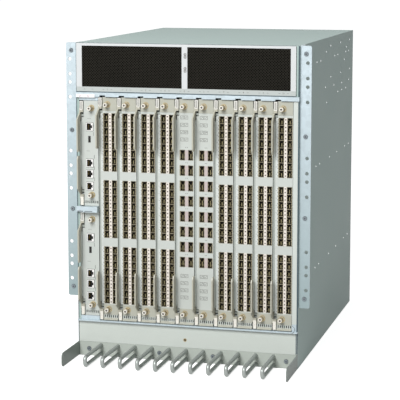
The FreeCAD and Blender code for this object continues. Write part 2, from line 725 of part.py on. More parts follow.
upper_shelf = doc.addObject("PartDesign::Body", "upper_shelf")
box(upper_shelf, "plate", (left + skin, cover_front, upper_shelf_bottom),
    (inside, rear - cover_front - cell("frame_sheet"), shelf))
box(upper_shelf, "rail_top", (left, rail_front, upper_shelf_bottom),
    (width, cover_front - rail_front, shelf))
box(upper_shelf, "rail", (left, rail_front, rail_bottom), (width, skin, cell("rail_height")))
box(upper_shelf, "control_head", (slot_left(0), card_front, control_low + control_step
    + control_height + slide),
    (pitch - cell("face_gap"), rib_length,
     upper_shelf_bottom + shelf / 2 - control_low - control_step - control_height - slide))
control_top = control_low + control_step + control_height
for side, x in rib_places:
    box(upper_shelf, f"control_rib_{side}",
        (slot_left(0) + x, front + cell("rib_setback"), control_top - cell("rib_height")),
        (rib, rib_length, upper_shelf_bottom + shelf / 2 - control_top + cell("rib_height")))
ribs = [box(upper_shelf, f"rib_{side}",
            (slot_left(1) + x, front + cell("rib_setback"), card_top - cell("rib_height")),
            (rib, rib_length, upper_shelf_bottom + shelf / 2 - card_top + cell("rib_height")))
        for side, x in rib_places]
row_of(upper_shelf, "ribs", ribs, "X", pitch, SLOTS - 1)
window = cut_box(upper_shelf, "rail_window",
                 (slot_left(1) + cell("lever_gap"), rail_front - PAST,
                  rail_bottom - PAST),
                 (cell("rail_window_width"), skin + 2 * PAST,
                  cell("rail_window_height") + PAST))
row_of(upper_shelf, "rail_windows", [window], "X", pitch, SLOTS - 1)
shelves = doc.addObject("Part::Compound", "card_shelves")
shelves.Links = [lower_shelf, upper_shelf]
keep(shelves, "card_shelves")

# ---------------------------------------------------------------- divider between the control cards
divider = new_body("control_divider")
divider_low = control_low + control_height + slide
divider_tall = cell("control_divider") - 2 * slide
divider_left = slot_left(0)
divider_width = pitch - cell("face_gap")
box(divider, "shelf", (divider_left, card_front, divider_low),
    (divider_width, backplane_front - card_front, divider_tall))
box(divider, "nose", (divider_left + cell("lever_gap"), front - cell("divider_reach"), divider_low),
    (divider_width - cell("lever_gap"), cell("divider_reach") + cell("card_setback"),
     divider_tall))
box(divider, "ear", (left, front - cell("divider_ear_reach"), divider_low),
    (cell("left_margin") + cell("lever_gap") + LAP, skin, divider_tall))
box(divider, "ear_leg", (left, front - cell("divider_ear_reach"), divider_low),
    (skin, cell("divider_ear_reach") + skin, divider_tall))
for side, x in rib_places:
    box(divider, f"rib_{side}", (slot_left(0) + x, front + cell("rib_setback"),
                                 divider_low - slide - cell("rib_height")),
        (rib, rib_length, divider_tall + 2 * slide + 2 * cell("rib_height")))

# ---------------------------------------------------------------- backplane with its headers
backplane = new_body("backplane")
box(backplane, "board", (left + skin + seat, backplane_front, lower_shelf_top),
    (inside - 2 * seat, cell("backplane_sheet"), upper_shelf_bottom - lower_shelf_top))
header_front = backplane_front - cell("header_depth")
header_block = (cell("header_width"), cell("header_depth") + LAP, cell("header_height"))
header = box(backplane, "header",
             (slot_left(1) + header_left(), header_front, card_bottom + cell("header_first")),
             header_block)
grid_of(backplane, "headers", [header],
        [("X", pitch, SLOTS - 1), ("Z", cell("header_step"), 3)])
for number, rise in enumerate((as_size(0), control_step)):
    box(backplane, f"control_header_{number}",
        (slot_left(0) + header_left(), header_front, control_low + cell("header_first") + rise),
        header_block)

# ---------------------------------------------------------------- side filler
filler = new_body("side_filler")
filler_low = lower_shelf_top + cell("end_block_height") + seat
filler_tall = rail_bottom - seat - filler_low
filler_left = last_slot_end + seat
filler_wide = cell("filler_width") - skin - seat
box(filler, "strip", (filler_left, front, filler_low), (filler_wide, cell("rib_setback"), filler_tall))
cut_box(filler, "hollow", (filler_left + skin, front + skin, filler_low + skin),
        (filler_wide - 2 * skin, cell("rib_setback"), filler_tall - 2 * skin))

# ---------------------------------------------------------------- vent bezel and its grilles
vent = new_body("vent_bezel")
vent_depth = cell("flange_depth")
box(vent, "frame", (left, front, vent_bottom), (vent_width, skin, cell("vent_height") + skin))
box(vent, "sill", (left + skin, front, vent_bottom), (vent_width - skin, vent_depth, skin))
box(vent, "head", (left + skin, front, vent_top - skin), (vent_width - skin, vent_depth, skin))
grille_width = (vent_width - cell("vent_stile") - cell("vent_right_stile")
                - cell("vent_mullion")) / 2
grille_height = cell("vent_height") - cell("vent_sill") - cell("vent_head")
grille_left = left + cell("vent_stile")
grille_step = grille_width + cell("vent_mullion")
grille_low = vent_bottom + cell("vent_sill")
hole = cut_box(vent, "grille_window", (grille_left, front - PAST, grille_low),
               (grille_width, skin + 2 * PAST, grille_height))
row_of(vent, "grille_windows", [hole], "X", grille_step, 2)

GRILLE_COLUMNS = 20
GRILLE_ROWS = 6
OPEN_SHARE = 0.5  # a hole's width in its column, and its height in its row
grille_lap = cell("vent_head") / 2
grille = doc.addObject("PartDesign::Body", "first_grille")
box(grille, "sheet", (grille_left - grille_lap, cover_front, grille_low - grille_lap),
    (grille_width + 2 * grille_lap, skin, grille_height + 2 * grille_lap))
column = grille_width / GRILLE_COLUMNS
line = grille_height / GRILLE_ROWS
edge = (1 - OPEN_SHARE) / 2
hole = cut_box(grille, "air_hole",
               (grille_left + column * edge, cover_front - PAST, grille_low + line * edge),
               (column * OPEN_SHARE, skin + 2 * PAST, line * OPEN_SHARE))
grid_of(grille, "air_holes", [hole], [("X", column, GRILLE_COLUMNS), ("Z", line, GRILLE_ROWS)])
second_grille = doc.addObject("Part::Compound", "second_grille")
second_grille.Links = [grille]
place(second_grille, grille_step, 0, 0)
grilles = doc.addObject("Part::Compound", "vent_grilles")
grilles.Links = [grille, second_grille]
keep(grilles, "vent_grilles")

# ---------------------------------------------------------------- lower bezel
lower_bezel = new_body("lower_bezel")
box(lower_bezel, "panel", (left, front, bezel_bottom), (width, skin, cell("lower_bezel_height")))
box(lower_bezel, "fold", (left + skin, front, bezel_top - skin), (inside, vent_depth, skin))
cut_cylinder(lower_bezel, "ground_jack",
             (left + cell("ground_jack_place"), front - PAST,
              bezel_bottom + cell("ground_jack_rise")),
             cell("ground_jack"), skin + 2 * PAST, "Y")

# ---------------------------------------------------------------- cable comb
comb = new_body("cable_comb")
comb_low = cell("comb_lift")
box(comb, "plate", (left, front, comb_low), (width, skin, cell("comb_height")))
wing_front = front - cell("wing_reach")
for side, x in (("left", left), ("right", right - skin)):
    box(comb, f"{side}_wing", (x, wing_front, comb_low),
        (skin, cell("wing_reach") + skin, cell("comb_height")))
round_edges(comb, "wing_corners", cell("wing_round"),
            lambda edge: abs(edge.CenterOfMass.y - wing_front.number) < 0.01
            and edge.BoundBox.XLength > skin.number / 2)
rod = cell("loop_rod")
bend = cell("loop_bend")
loop_x = cell("loop_pitch") * ((SLOTS - 1) / -2)
low_rod = comb_low + cell("loop_lift") + rod / 2
high_rod = low_rod + cell("loop_height")
loop_front = front - cell("comb_reach") + rod / 2
path = new_sketch(comb, "loop_path", "YZ_Plane", loop_x)
loop_back = front + skin / 2
corners = [(loop_back, high_rod), (loop_front + bend, high_rod), (loop_front, high_rod - bend),
           (loop_front, low_rod + bend), (loop_front + bend, low_rod), (loop_back, low_rod)]
spots = [FreeCAD.Vector(u.number, v.number, 0) for u, v in corners]
BEND_MIDDLE = 1 - 0.5 ** 0.5  # from a bend's corner to its middle, along each axis
slack = FreeCAD.Vector(BEND_MIDDLE, BEND_MIDDLE, 0) * bend.number
upper_corner = FreeCAD.Vector(loop_front.number, high_rod.number, 0)
lower_corner = FreeCAD.Vector(loop_front.number, low_rod.number, 0)
slack_down = FreeCAD.Vector(slack.x, -slack.y, 0)
for curve in (Part.LineSegment(spots[0], spots[1]),
              Part.Arc(spots[1], upper_corner + slack_down, spots[2]),
              Part.LineSegment(spots[2], spots[3]),
              Part.Arc(spots[3], lower_corner + slack, spots[4]),
              Part.LineSegment(spots[4], spots[5])):
    path.addGeometry(curve, False)
for line in (0, 2, 4):
    for end in (1, 2):
        u, v = corners[line + end - 1]
        constrain(path, f"corner_{line + end}_u", "DistanceX", -1, 1, line, end, u)
        constrain(path, f"corner_{line + end}_v", "DistanceY", -1, 1, line, end, v)
for arc in (1, 3):
    path.addConstraint(Sketcher.Constraint("Coincident", arc, 1, arc - 1, 2))
    path.addConstraint(Sketcher.Constraint("Coincident", arc, 2, arc + 1, 1))
    constrain(path, f"bend_{arc}", "Radius", arc, bend)
rod_profile = round_profile(comb, "rod_profile", "XZ_Plane", -loop_back, (loop_x, high_rod), rod)
loop = comb.newObject("PartDesign::AdditivePipe", "loop")
loop.Profile = rod_profile
loop.Spine = (path, ["Edge1", "Edge2", "Edge3", "Edge4", "Edge5"])
row_of(comb, "loops", [loop], "X", cell("loop_pitch"), SLOTS)
for number, x in enumerate(comb_screw_x, 1):
    hole = cut_cylinder(comb, f"screw_hole_{number}", (x, front - PAST, comb_screw_z),
                        shank_hole, skin + 2 * PAST, "Y")
comb.Tip = hole

# ---------------------------------------------------------------- rack ears
EAR_SETS = 3
EAR_SCREWS = 4
ear_sheet = cell("frame_sheet")
ear_front = front + cell("ear_setback")
ear_foot = height - cell("ear_length")
ear_screw_step = (cell("ear_length") - cell("ear_screw_drop") - cell("ear_screw_end")
                  ) / (EAR_SCREWS - 1)


def build_ear(label, side):
    """An L bracket of galvanised sheet; side is -1 for the left ear, 1 for the right one."""
    body = new_body(label)
    reach = cell("ear_reach")
    start = left - reach if side < 0 else right
    leg = left - ear_sheet if side < 0 else right
    box(body, "flange", (start, ear_front, ear_foot), (reach, ear_sheet, cell("ear_length")))
    outer = start if side < 0 else start + reach
    round_edges(body, "corners", cell("ear_round"),
                lambda edge: abs(edge.CenterOfMass.x - outer.number) < 0.01
                and edge.BoundBox.YLength > ear_sheet.number / 2)
    box(body, "leg", (leg, ear_front, ear_foot),
        (ear_sheet, cell("ear_leg"), cell("ear_length")))
    axis = left if side < 0 else right
    near, far = cell("ear_hole_near"), cell("ear_hole_far")
    holes = []
    hole_x = axis + side * cell("ear_hole_place")
    for number, drop in enumerate((as_size(0), far, far + near, far + near + far), 1):
        holes.append(cut_cylinder(
            body, f"rack_hole_{number}",
            (hole_x, ear_front - PAST, height - cell("ear_hole_drop") - drop),
            cell("ear_hole"), ear_sheet + 2 * PAST, "Y"))
    row_of(body, "rack_holes", holes, "-Z", cell("ear_hole_set"), EAR_SETS)
    screw_z = height - cell("ear_screw_drop")
    screw_x = axis + side * cell("ear_screw_place")
    hole = cut_cylinder(body, "screw_hole", (screw_x, ear_front - PAST, screw_z),
                        shank_hole, ear_sheet + 2 * PAST, "Y")
    row_of(body, "screw_holes", [hole], "-Z", ear_screw_step, EAR_SCREWS)
    return body


build_ear("rack_ear_left", -1)
build_ear("rack_ear_right", 1)

# ---------------------------------------------------------------- screws of the ears and the comb
screws = doc.addObject("Part::Feature", "chassis_screws")
head_radius = sheet.get("pan_head") / 2
head_stand = sheet.get("pan_stand")
shank_radius = sheet.get("pan_shank") / 2
shank_length = sheet.get("pan_shank_length")
spots = [(axis + side * cell("ear_screw_place"), ear_front,
          height - cell("ear_screw_drop") - ear_screw_step * number)
         for side, axis in ((-1, left), (1, right)) for number in range(EAR_SCREWS)]
spots += [(as_size(x), front, comb_screw_z) for x in comb_screw_x]
solids = []
backwards = FreeCAD.Vector(0, 1, 0)
for x, y, z in spots:
    seat_point = FreeCAD.Vector(x.number, y.number, z.number)
    head = Part.makeCylinder(head_radius, head_stand, seat_point - backwards * head_stand, backwards)
    shank = Part.makeCylinder(shank_radius, head_stand + shank_length,
                              seat_point - backwards * head_stand, backwards)
    solids.append(head.fuse(shank).removeSplitter())
screws.Shape = Part.makeCompound(solids)
keep(screws, "chassis_screws")

# ---------------------------------------------------------------- rear bulkhead and its fan deck
SUPPLIES = 4
FANS = 3
LOUVRES = 12
SUPPLY_VENTS = 5
bulkhead = new_body("rear_bulkhead")
sheet_rear = cell("frame_sheet")
bar = cell("bay_bar")
panel_front = rear - sheet_rear
deck_top = cell("fan_deck_height")
fan_height = upper_shelf_top - cell("fan_headroom") - deck_top
box(bulkhead, "panel", (left + skin, panel_front, 0), (inside, sheet_rear, vent_top))
box(bulkhead, "fan_deck", (left + skin, backplane_rear, deck_top - sheet_rear),
    (inside, rear - backplane_rear, sheet_rear))
supply_pitch = (inside - bar) / SUPPLIES
supply_bay = supply_pitch - bar
supply_low = upper_shelf_top + slide
bay = cut_box(bulkhead, "supply_bay",
              (left + skin + bar, panel_front - PAST, upper_shelf_top),
              (supply_bay, sheet_rear + 2 * PAST, cell("supply_height") + 2 * slide))
row_of(bulkhead, "supply_bays", [bay], "X", supply_pitch, SUPPLIES)
fan_pitch = (inside - bar) / FANS
fan_bay_wide = cell("fan_width") + 2 * slide
fan_bay_left = left + skin + bar + (fan_pitch - bar - fan_bay_wide) / 2
bay = cut_box(bulkhead, "fan_bay", (fan_bay_left, panel_front - PAST, deck_top),
              (fan_bay_wide, sheet_rear + 2 * PAST, fan_height + 2 * slide))
row_of(bulkhead, "fan_bays", [bay], "X", fan_pitch, FANS)
louvre = cut_box(bulkhead, "louvre",
                 (left + skin + cell("louvre_place"), panel_front - PAST, lower_shelf_top),
                 (cell("louvre_width"), sheet_rear + 2 * PAST, cell("louvre_height")))
grid_of(bulkhead, "louvres", [louvre],
        [("X", supply_pitch, SUPPLIES), ("Z", cell("louvre_step"), LOUVRES)])


# ---------------------------------------------------------------- modules at the rear
def add_handle(body, middle, foot, tall):
    """An upright bar handle behind a module, on two posts."""
    thick = cell("handle_bar")
    reach = cell("handle_reach")
    box(body, "handle_bar", (middle - thick / 2, rear + reach - thick, foot),
        (thick, thick, tall))
    for name, level in (("lower", foot), ("upper", foot + tall - thick)):
        box(body, f"handle_{name}_post", (middle - thick / 2, rear - module_wall, level),
            (thick, reach + module_wall, thick))


module_wall = cell("module_sheet")
supply = new_body("power_supply_1")
supply_wide = supply_bay - 2 * slide
supply_left = left + skin + bar + slide
supply_front = rear - cell("supply_depth")
box(supply, "case", (supply_left, supply_front, supply_low),
    (supply_wide, cell("supply_depth"), cell("supply_height")))
cut_box(supply, "hollow", (supply_left + module_wall, supply_front - PAST,
                           supply_low + module_wall),
        (supply_wide - 2 * module_wall, cell("supply_depth") - module_wall + PAST,
         cell("supply_height") - 2 * module_wall))
add_handle(supply, supply_left + cell("supply_handle_place"),
           supply_low + (cell("supply_height") - cell("handle_span")) / 2, cell("handle_span"))
inlet = cell("inlet_size")
inlet_left = supply_left + cell("inlet_place")
inlet_low = supply_low + cell("inlet_rise")
inlet_depth = cell("jack_depth")
box(supply, "inlet", (inlet_left, rear - inlet_depth, inlet_low), (inlet, inlet_depth, inlet))
cut_box(supply, "inlet_recess",
        (inlet_left + module_wall, rear - inlet_depth + module_wall, inlet_low + module_wall),
        (inlet - 2 * module_wall, inlet_depth, inlet - 2 * module_wall))
vent_step = cell("supply_vent_step")
air = cut_box(supply, "air_slot",
              (inlet_left, rear - module_wall - PAST, inlet_low + inlet + vent_step),
              (inlet, module_wall + 2 * PAST, cell("supply_vent_height")))
row_of(supply, "air_slots", [air], "Z", vent_step, SUPPLY_VENTS)
for number in range(1, SUPPLIES):
    copy_of(supply, f"power_supply_{number + 1}", supply_pitch * number, 0, 0)

fan = new_body("fan_module_1")
fan_left = fan_bay_left + slide
fan_low = deck_top + slide
fan_front = rear - cell("fan_depth")
fan_middle = fan_left + cell("fan_width") / 2
fan_centre = fan_low + fan_height / 2
box(fan, "case", (fan_left, fan_front, fan_low),
    (cell("fan_width"), cell("fan_depth"), fan_height))
duct_wall = (cell("fan_width") - cell("fan_bore")) / 2
cut_cylinder(fan, "duct", (fan_middle, fan_front - PAST, fan_centre), cell("fan_bore"),
             cell("fan_depth") + 2 * PAST, "Y")
for name, level in (("lower", fan_low + duct_wall),
                    ("upper", fan_centre + cell("fan_bore") / 2 + duct_wall)):
    cut_box(fan, f"{name}_hollow", (fan_left + duct_wall, fan_front - PAST, level),
            (cell("fan_bore"), cell("fan_depth") - module_wall,
             (fan_height - cell("fan_bore")) / 2 - 2 * duct_wall))
strut_front = rear - module_wall - cell("strut_depth")
box(fan, "upright_strut", (fan_middle - cell("strut_width") / 2, strut_front,
                           fan_centre - cell("fan_bore") / 2 - duct_wall / 2),
    (cell("strut_width"), cell("strut_depth"), cell("fan_bore") + duct_wall))
box(fan, "level_strut", (fan_left + duct_wall / 2, strut_front,
                         fan_centre - cell("strut_width") / 2),
    (cell("fan_width") - duct_wall, cell("strut_depth"), cell("strut_width")))
motor_front = strut_front - cell("motor_depth")
cylinder(fan, "motor", (fan_middle, motor_front, fan_centre), cell("rotor_hub"),
         cell("motor_depth") + cell("strut_depth") / 2, "Y")
add_handle(fan, fan_middle, fan_centre - cell("handle_span") / 2, cell("handle_span"))
shaft_hole = cut_cylinder(fan, "shaft_hole", (fan_middle, motor_front - PAST, fan_centre),
                          cell("rotor_shaft") + 2 * cell("pin_gap"),
                          cell("motor_depth") - module_wall + PAST, "Y")
fan.Tip = shaft_hole

ROTOR_VANES = 7
TWIST = math.radians(35)  # of the vanes against the axis
rotor = new_body("fan_rotor_1")
rotor_front = motor_front - slide - cell("rotor_depth")
# a vane's tip is flat, so that its corners stand a little further out than its middle
tip_radius = cell("fan_bore") / 2 - 2 * cell("rotor_gap")
cylinder(rotor, "hub", (0, 0, 0), cell("rotor_hub"), cell("rotor_depth"), "Y")
cylinder(rotor, "shaft", (0, 0, 0), cell("rotor_shaft"),
         cell("rotor_depth") + cell("motor_depth") - 2 * module_wall, "Y")
vane_root = cell("rotor_hub") / 2 - cell("vane_root")
vane = box(rotor, "vane", (0, 0, 0), (module_wall, cell("vane_width"), tip_radius - vane_root))
vane.Placement = FreeCAD.Placement(
    FreeCAD.Vector(), FreeCAD.Rotation(FreeCAD.Vector(0, 0, 1), math.degrees(TWIST)))
# the vane is turned about its own middle, half way along the hub
place(vane, cell("vane_width") * math.sin(TWIST) / 2 - module_wall * math.cos(TWIST) / 2,
      cell("rotor_depth") / 2 - cell("vane_width") * math.cos(TWIST) / 2
      - module_wall * math.sin(TWIST) / 2, vane_root)
vanes = rotor.newObject("PartDesign::PolarPattern", "vanes")
vanes.Originals = [vane]
vanes.Axis = (origin_feature(rotor, "Y_Axis"), [""])
vanes.Angle = 360
vanes.Occurrences = ROTOR_VANES
rotor.Tip = vanes
place(rotor, fan_middle, rotor_front, fan_centre)
for number in range(1, FANS):
    copy_of(fan, f"fan_module_{number + 1}", fan_pitch * number, 0, 0)
    copy_of(rotor, f"fan_rotor_{number + 1}", fan_pitch * number, 0, 0)

# ---------------------------------------------------------------- check and write
doc.recompute()
for item in doc.Objects:
    if "Invalid" in item.State or "Error" in item.State:
        raise RuntimeError(f"{item.Name} could not be built: {item.State}")
labels = [item.Label for item in parts]
if len(set(labels)) != len(labels):
    raise RuntimeError("two pieces have the same name")
for item in parts:
    if item.Shape.isNull() or not item.Shape.isValid():
        raise RuntimeError(f"{item.Label} has no valid shape")
os.makedirs("parts", exist_ok=True)
for item in parts:
    item.Shape.exportStep(f"parts/{item.Label}.step")
print(f"{len(parts)} pieces, {width.number:.1f} x {depth.number:.1f} x {height.number:.1f} mm")
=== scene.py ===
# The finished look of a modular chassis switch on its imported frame. Lengths in the helpers
# are millimetres: x runs to the right, y from the front to the rear, and z up.
import json
import math
import bmesh
import bpy
from mathutils import Matrix, Vector

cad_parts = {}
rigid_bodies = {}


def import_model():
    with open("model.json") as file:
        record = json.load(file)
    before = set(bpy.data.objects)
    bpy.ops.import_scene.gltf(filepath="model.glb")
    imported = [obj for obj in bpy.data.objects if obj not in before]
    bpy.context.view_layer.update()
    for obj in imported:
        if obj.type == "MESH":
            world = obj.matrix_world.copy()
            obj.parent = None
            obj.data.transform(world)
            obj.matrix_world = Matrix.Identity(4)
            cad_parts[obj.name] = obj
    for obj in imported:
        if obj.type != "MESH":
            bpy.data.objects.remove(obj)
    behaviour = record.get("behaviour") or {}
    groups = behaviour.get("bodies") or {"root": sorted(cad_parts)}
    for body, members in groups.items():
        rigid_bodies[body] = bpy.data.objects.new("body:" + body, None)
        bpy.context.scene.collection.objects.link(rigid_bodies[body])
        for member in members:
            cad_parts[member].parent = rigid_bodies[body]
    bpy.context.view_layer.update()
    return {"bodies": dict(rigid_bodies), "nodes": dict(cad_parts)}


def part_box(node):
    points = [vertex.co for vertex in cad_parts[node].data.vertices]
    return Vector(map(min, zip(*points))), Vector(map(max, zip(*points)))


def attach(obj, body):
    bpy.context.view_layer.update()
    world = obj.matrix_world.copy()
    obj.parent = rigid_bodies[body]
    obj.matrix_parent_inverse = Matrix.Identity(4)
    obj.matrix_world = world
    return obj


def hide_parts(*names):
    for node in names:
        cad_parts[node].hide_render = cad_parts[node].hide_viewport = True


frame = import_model()

# ---------------------------------------------------------------- base pan and outer cover
# The body of the chassis: a folded sheet steel pan and a wrap-round cover, blind riveted
# together along their seams and powder coated in a satin grey-green.
MM = 0.001
GREY_COAT = (0.365, 0.462, 0.438)
RIVET_HEAD = 1.6
RIVET_STAND = 0.8
GAP_SHADE_STAND = 1.7
GAP_SHADE_FOOT = 29.0
SHARP_ANGLE = math.radians(38)


def add(tree, kind, settings=None, **sockets):
    """A node with its settings; a socket takes a value, or a link from another socket."""
    node = tree.nodes.new(kind)
    for key, value in (settings or {}).items():
        setattr(node, key, value)
    for key, value in sockets.items():
        place = int(key[2:]) if key.startswith("at") else key.replace("_", " ")
        if isinstance(value, bpy.types.NodeSocket):
            tree.links.new(value, node.inputs[place])
        else:
            node.inputs[place].default_value = value
    return node


def maths(tree, operation, *values):
    """The result of one sum on numbers or sockets."""
    return add(tree, "ShaderNodeMath", {"operation": operation},
               **{f"at{place}": value for place, value in enumerate(values)}).outputs[0]


def blend(tree, share, under, over):
    """A colour between two, by a share from 0 to 1."""
    return add(tree, "ShaderNodeMix", {"data_type": "RGBA"}, at0=share, at6=under,
               at7=over).outputs[2]


def object_axes(tree):
    """The x, y and z of each place on a piece, in metres."""
    place = add(tree, "ShaderNodeTexCoord").outputs["Object"]
    return add(tree, "ShaderNodeSeparateXYZ", Vector=place).outputs


def shades(colour, spread):
    """A darker and a lighter tint of one colour."""
    return [tuple(min(1.0, part * share) for part in colour) + (1.0,)
            for share in (1 - spread, 1 + spread)]


def coat(name, colour, roughness, spread=0.05, cloud=16.0, grain=900.0, depth=0.05,
         metallic=0.0, stretch=(1.0, 1.0, 1.0), spangle=False, shine=0.5):
    """A coated or bare surface: a cloudy tint, or zinc spangles, over a fine grain."""
    material = bpy.data.materials.new(name)
    material.use_nodes = True
    tree = material.node_tree
    shader = tree.nodes["Principled BSDF"]
    shader.inputs["Metallic"].default_value = metallic
    shader.inputs["Specular IOR Level"].default_value = shine
    place = add(tree, "ShaderNodeTexCoord").outputs["Object"]
    place = add(tree, "ShaderNodeMapping", Vector=place, Scale=stretch).outputs["Vector"]
    if spangle:
        cells = add(tree, "ShaderNodeTexVoronoi", Vector=place, Scale=cloud)
        tone = add(tree, "ShaderNodeSeparateColor", Color=cells.outputs["Color"]).outputs["Red"]
    else:
        clouds = add(tree, "ShaderNodeTexNoise", Vector=place, Scale=cloud, Detail=4.0)
        tone = clouds.outputs["Fac"]
    dark, light = shades(colour, spread)
    tree.links.new(blend(tree, tone, dark, light), shader.inputs["Base Color"])
    fine = add(tree, "ShaderNodeTexNoise", Vector=place, Scale=grain, Detail=2.0).outputs["Fac"]
    gloss = add(tree, "ShaderNodeMapRange", Value=tone, To_Min=roughness - 0.06,
                To_Max=roughness + 0.06)
    tree.links.new(gloss.outputs["Result"], shader.inputs["Roughness"])
    bump = add(tree, "ShaderNodeBump", Height=fine, Strength=depth * 4, Distance=depth * MM)
    tree.links.new(bump.outputs["Normal"], shader.inputs["Normal"])
    return material


def toned(material, axis, start, end, colour):
    """Turns a finish towards another colour along an axis, between two places in millimetres."""
    tree = material.node_tree
    tint = tree.nodes["Principled BSDF"].inputs["Base Color"]
    share = add(tree, "ShaderNodeMapRange", Value=object_axes(tree)[axis], From_Min=start * MM,
                From_Max=end * MM).outputs["Result"]
    tree.links.new(blend(tree, share, tint.links[0].from_socket, (*colour, 1.0)), tint)


def dress(finish, *nodes):
    """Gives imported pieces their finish."""
    for node in nodes:
        for slot in frame["nodes"][node].material_slots:
            slot.material = finish


def extent(node):
    """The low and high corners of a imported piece, in millimetres."""
    return [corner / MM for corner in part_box(node)]


def smooth(mesh):
    """Smooth faces between a mesh's sharp edges."""
    mesh.shade_smooth()
    mesh.set_sharp_from_angle(angle=SHARP_ANGLE)


def linked(name, mesh, finish):
    """A new object at the origin, with smooth faces between its sharp edges."""
    piece = bpy.data.objects.new(name, mesh)
    bpy.context.scene.collection.objects.link(piece)
    mesh.materials.clear()
    mesh.materials.append(finish)
    smooth(mesh)
    return piece


def made(name, bm, finish, body):
    """Ends a hand-built mesh, drawn in millimetres, as a piece on its body."""
    bm.transform(Matrix.Scale(MM, 4))
    mesh = bpy.data.meshes.new(name)
    bm.to_mesh(mesh)
    bm.free()
    piece = linked(name, mesh, finish)
    if body:
        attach(piece, body)
    return piece


def new_tree(name, inputs):
    """A geometry tree with its named inputs and the group's two end nodes."""
    tree = bpy.data.node_groups.new(name, "GeometryNodeTree")
    shape = ("Geometry", "Geometry")
    for side, pairs in (("INPUT", [shape, *inputs]), ("OUTPUT", [shape])):
        for label, kind in pairs:
            tree.interface.new_socket(label, in_out=side, socket_type="NodeSocket" + kind)
    return tree, tree.nodes.new("NodeGroupInput").outputs, tree.nodes.new("NodeGroupOutput")


def close_tree(tree, given, result, copies):
    """Makes a tree's copies real, gives them their finish and ends the tree."""
    real = add(tree, "GeometryNodeRealizeInstances", Geometry=copies)
    dressed = add(tree, "GeometryNodeSetMaterial", Geometry=real.outputs[0],
                  Material=given["Finish"])
    tree.links.new(dressed.outputs[0], result.inputs[0])


def grown(name, seed, tree, finish, body, slot, **sizes):
    """Runs a geometry tree on a seed mesh and keeps the result as a plain piece."""
    piece = linked(name, seed, finish)
    modifier = piece.modifiers.new(tree.name, "NODES")
    modifier.node_group = tree
    values = {label.replace("_", " "): value for label, value in sizes.items()}
    values["Finish"] = finish
    for item in tree.interface.items_tree:
        if item.in_out == "INPUT" and item.name in values:
            modifier[item.identifier] = values[item.name]
    graph = bpy.context.evaluated_depsgraph_get()
    mesh = bpy.data.meshes.new_from_object(piece.evaluated_get(graph))
    piece.modifiers.remove(modifier)
    piece.data = mesh
    smooth(mesh)
    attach(piece, body)
    return piece


def at_points(points):
    """A mesh of loose points, from places in millimetres."""
    mesh = bpy.data.meshes.new("places")
    mesh.from_pydata([Vector(point) * MM for point in points], [], [])
    return mesh


head_tree, given, result = new_tree("Domed Heads", [
    ("Head Radius", "Float"), ("Head Stand", "Float"), ("Turn", "Vector"), ("Finish", "Material")])
ball = add(head_tree, "GeometryNodeMeshUVSphere", Segments=12, Rings=6,
           Radius=given["Head Radius"])
flat = maths(head_tree, "DIVIDE", given["Head Stand"], given["Head Radius"])
shape = add(head_tree, "ShaderNodeCombineXYZ", X=1.0, Y=1.0, Z=flat)
dome = add(head_tree, "GeometryNodeTransform", Geometry=ball.outputs["Mesh"],
           Scale=shape.outputs[0])
heads = add(head_tree, "GeometryNodeInstanceOnPoints", Points=given["Geometry"],
            Instance=dome.outputs[0], Rotation=given["Turn"])
close_tree(head_tree, given, result, heads.outputs[0])

grey_coat = coat("grey powder coat", GREY_COAT, 0.5, spread=0.035, cloud=11.0, depth=0.04,
                 shine=0.1)
rivet_metal = coat("rivet metal", (0.93, 0.95, 0.95), 0.16, metallic=1.0)
dress(grey_coat, "outer_cover", "base_pan")
cover_low, cover_high = extent("outer_cover")
# the seams' rivets, as distances behind the front and above the foot
seam_rivets = [(171.4, 571.4), (212.4, 571.4), (373.2, 571.4), (411.1, 571.4), (511.4, 571.4),
               (550.4, 571.4), (324.4, 595), (444.4, 595), (560.4, 595), (328.4, 531),
               (449.4, 531), (565.4, 531), (366.4, 511), (269.4, 514), (463.4, 508),
               (553.4, 508), (415.9, 493), (464.8, 493), (516.2, 493), (282.9, 482),
               (272.4, 585.5), (519.4, 581), (494.4, 555.5)]
seam_rivets += [(place, level) for level in (366, 163) for place in (171, 212, 324, 411, 511, 560)]
for side, edge, turn in (("left", cover_low.x, -90), ("right", cover_high.x, 90)):
    places = [(edge, cover_low.y + place, level) for place, level in seam_rivets]
    grown(f"cover_rivets_{side}", at_points(places), head_tree, rivet_metal, "chassis",
          "screw_steel", Head_Radius=RIVET_HEAD * MM, Head_Stand=RIVET_STAND * MM,
          Turn=(0, math.radians(turn), 0))


def block(bm, low, high, edge=0.0):
    """A box between two corners, in millimetres, with its edges broken.

    Plain shapes go into a mesh before broken ones, or its faces change order between runs.
    """
    low, high = Vector(low), Vector(high)
    matrix = Matrix.Translation((low + high) / 2) @ Matrix.Diagonal((*(high - low), 1.0))
    corners = bmesh.ops.create_cube(bm, size=1.0, matrix=matrix)["verts"]
    if edge:
        edges = list({line for corner in corners for line in corner.link_edges})
        bmesh.ops.bevel(bm, geom=edges, offset=edge, segments=1, affect="EDGES",
                        clamp_overlap=True)


# a dark strip of painted shade fills the joint between the cover and each rack ear
gap_shade = coat("painted gap shade", (0.045, 0.075, 0.09), 0.7, spread=0.2, cloud=120.0)
for side, inner, outer in (("left", cover_low.x, cover_low.x + 1.0),
                           ("right", cover_high.x - 2.5, cover_high.x)):
    bm = bmesh.new()
    block(bm, (inner, cover_low.y - GAP_SHADE_STAND, GAP_SHADE_FOOT),
          (outer, cover_low.y, cover_high.z - 0.3), 0.3)
    made(f"cover_gap_shade_{side}", bm, gap_shade, "chassis")

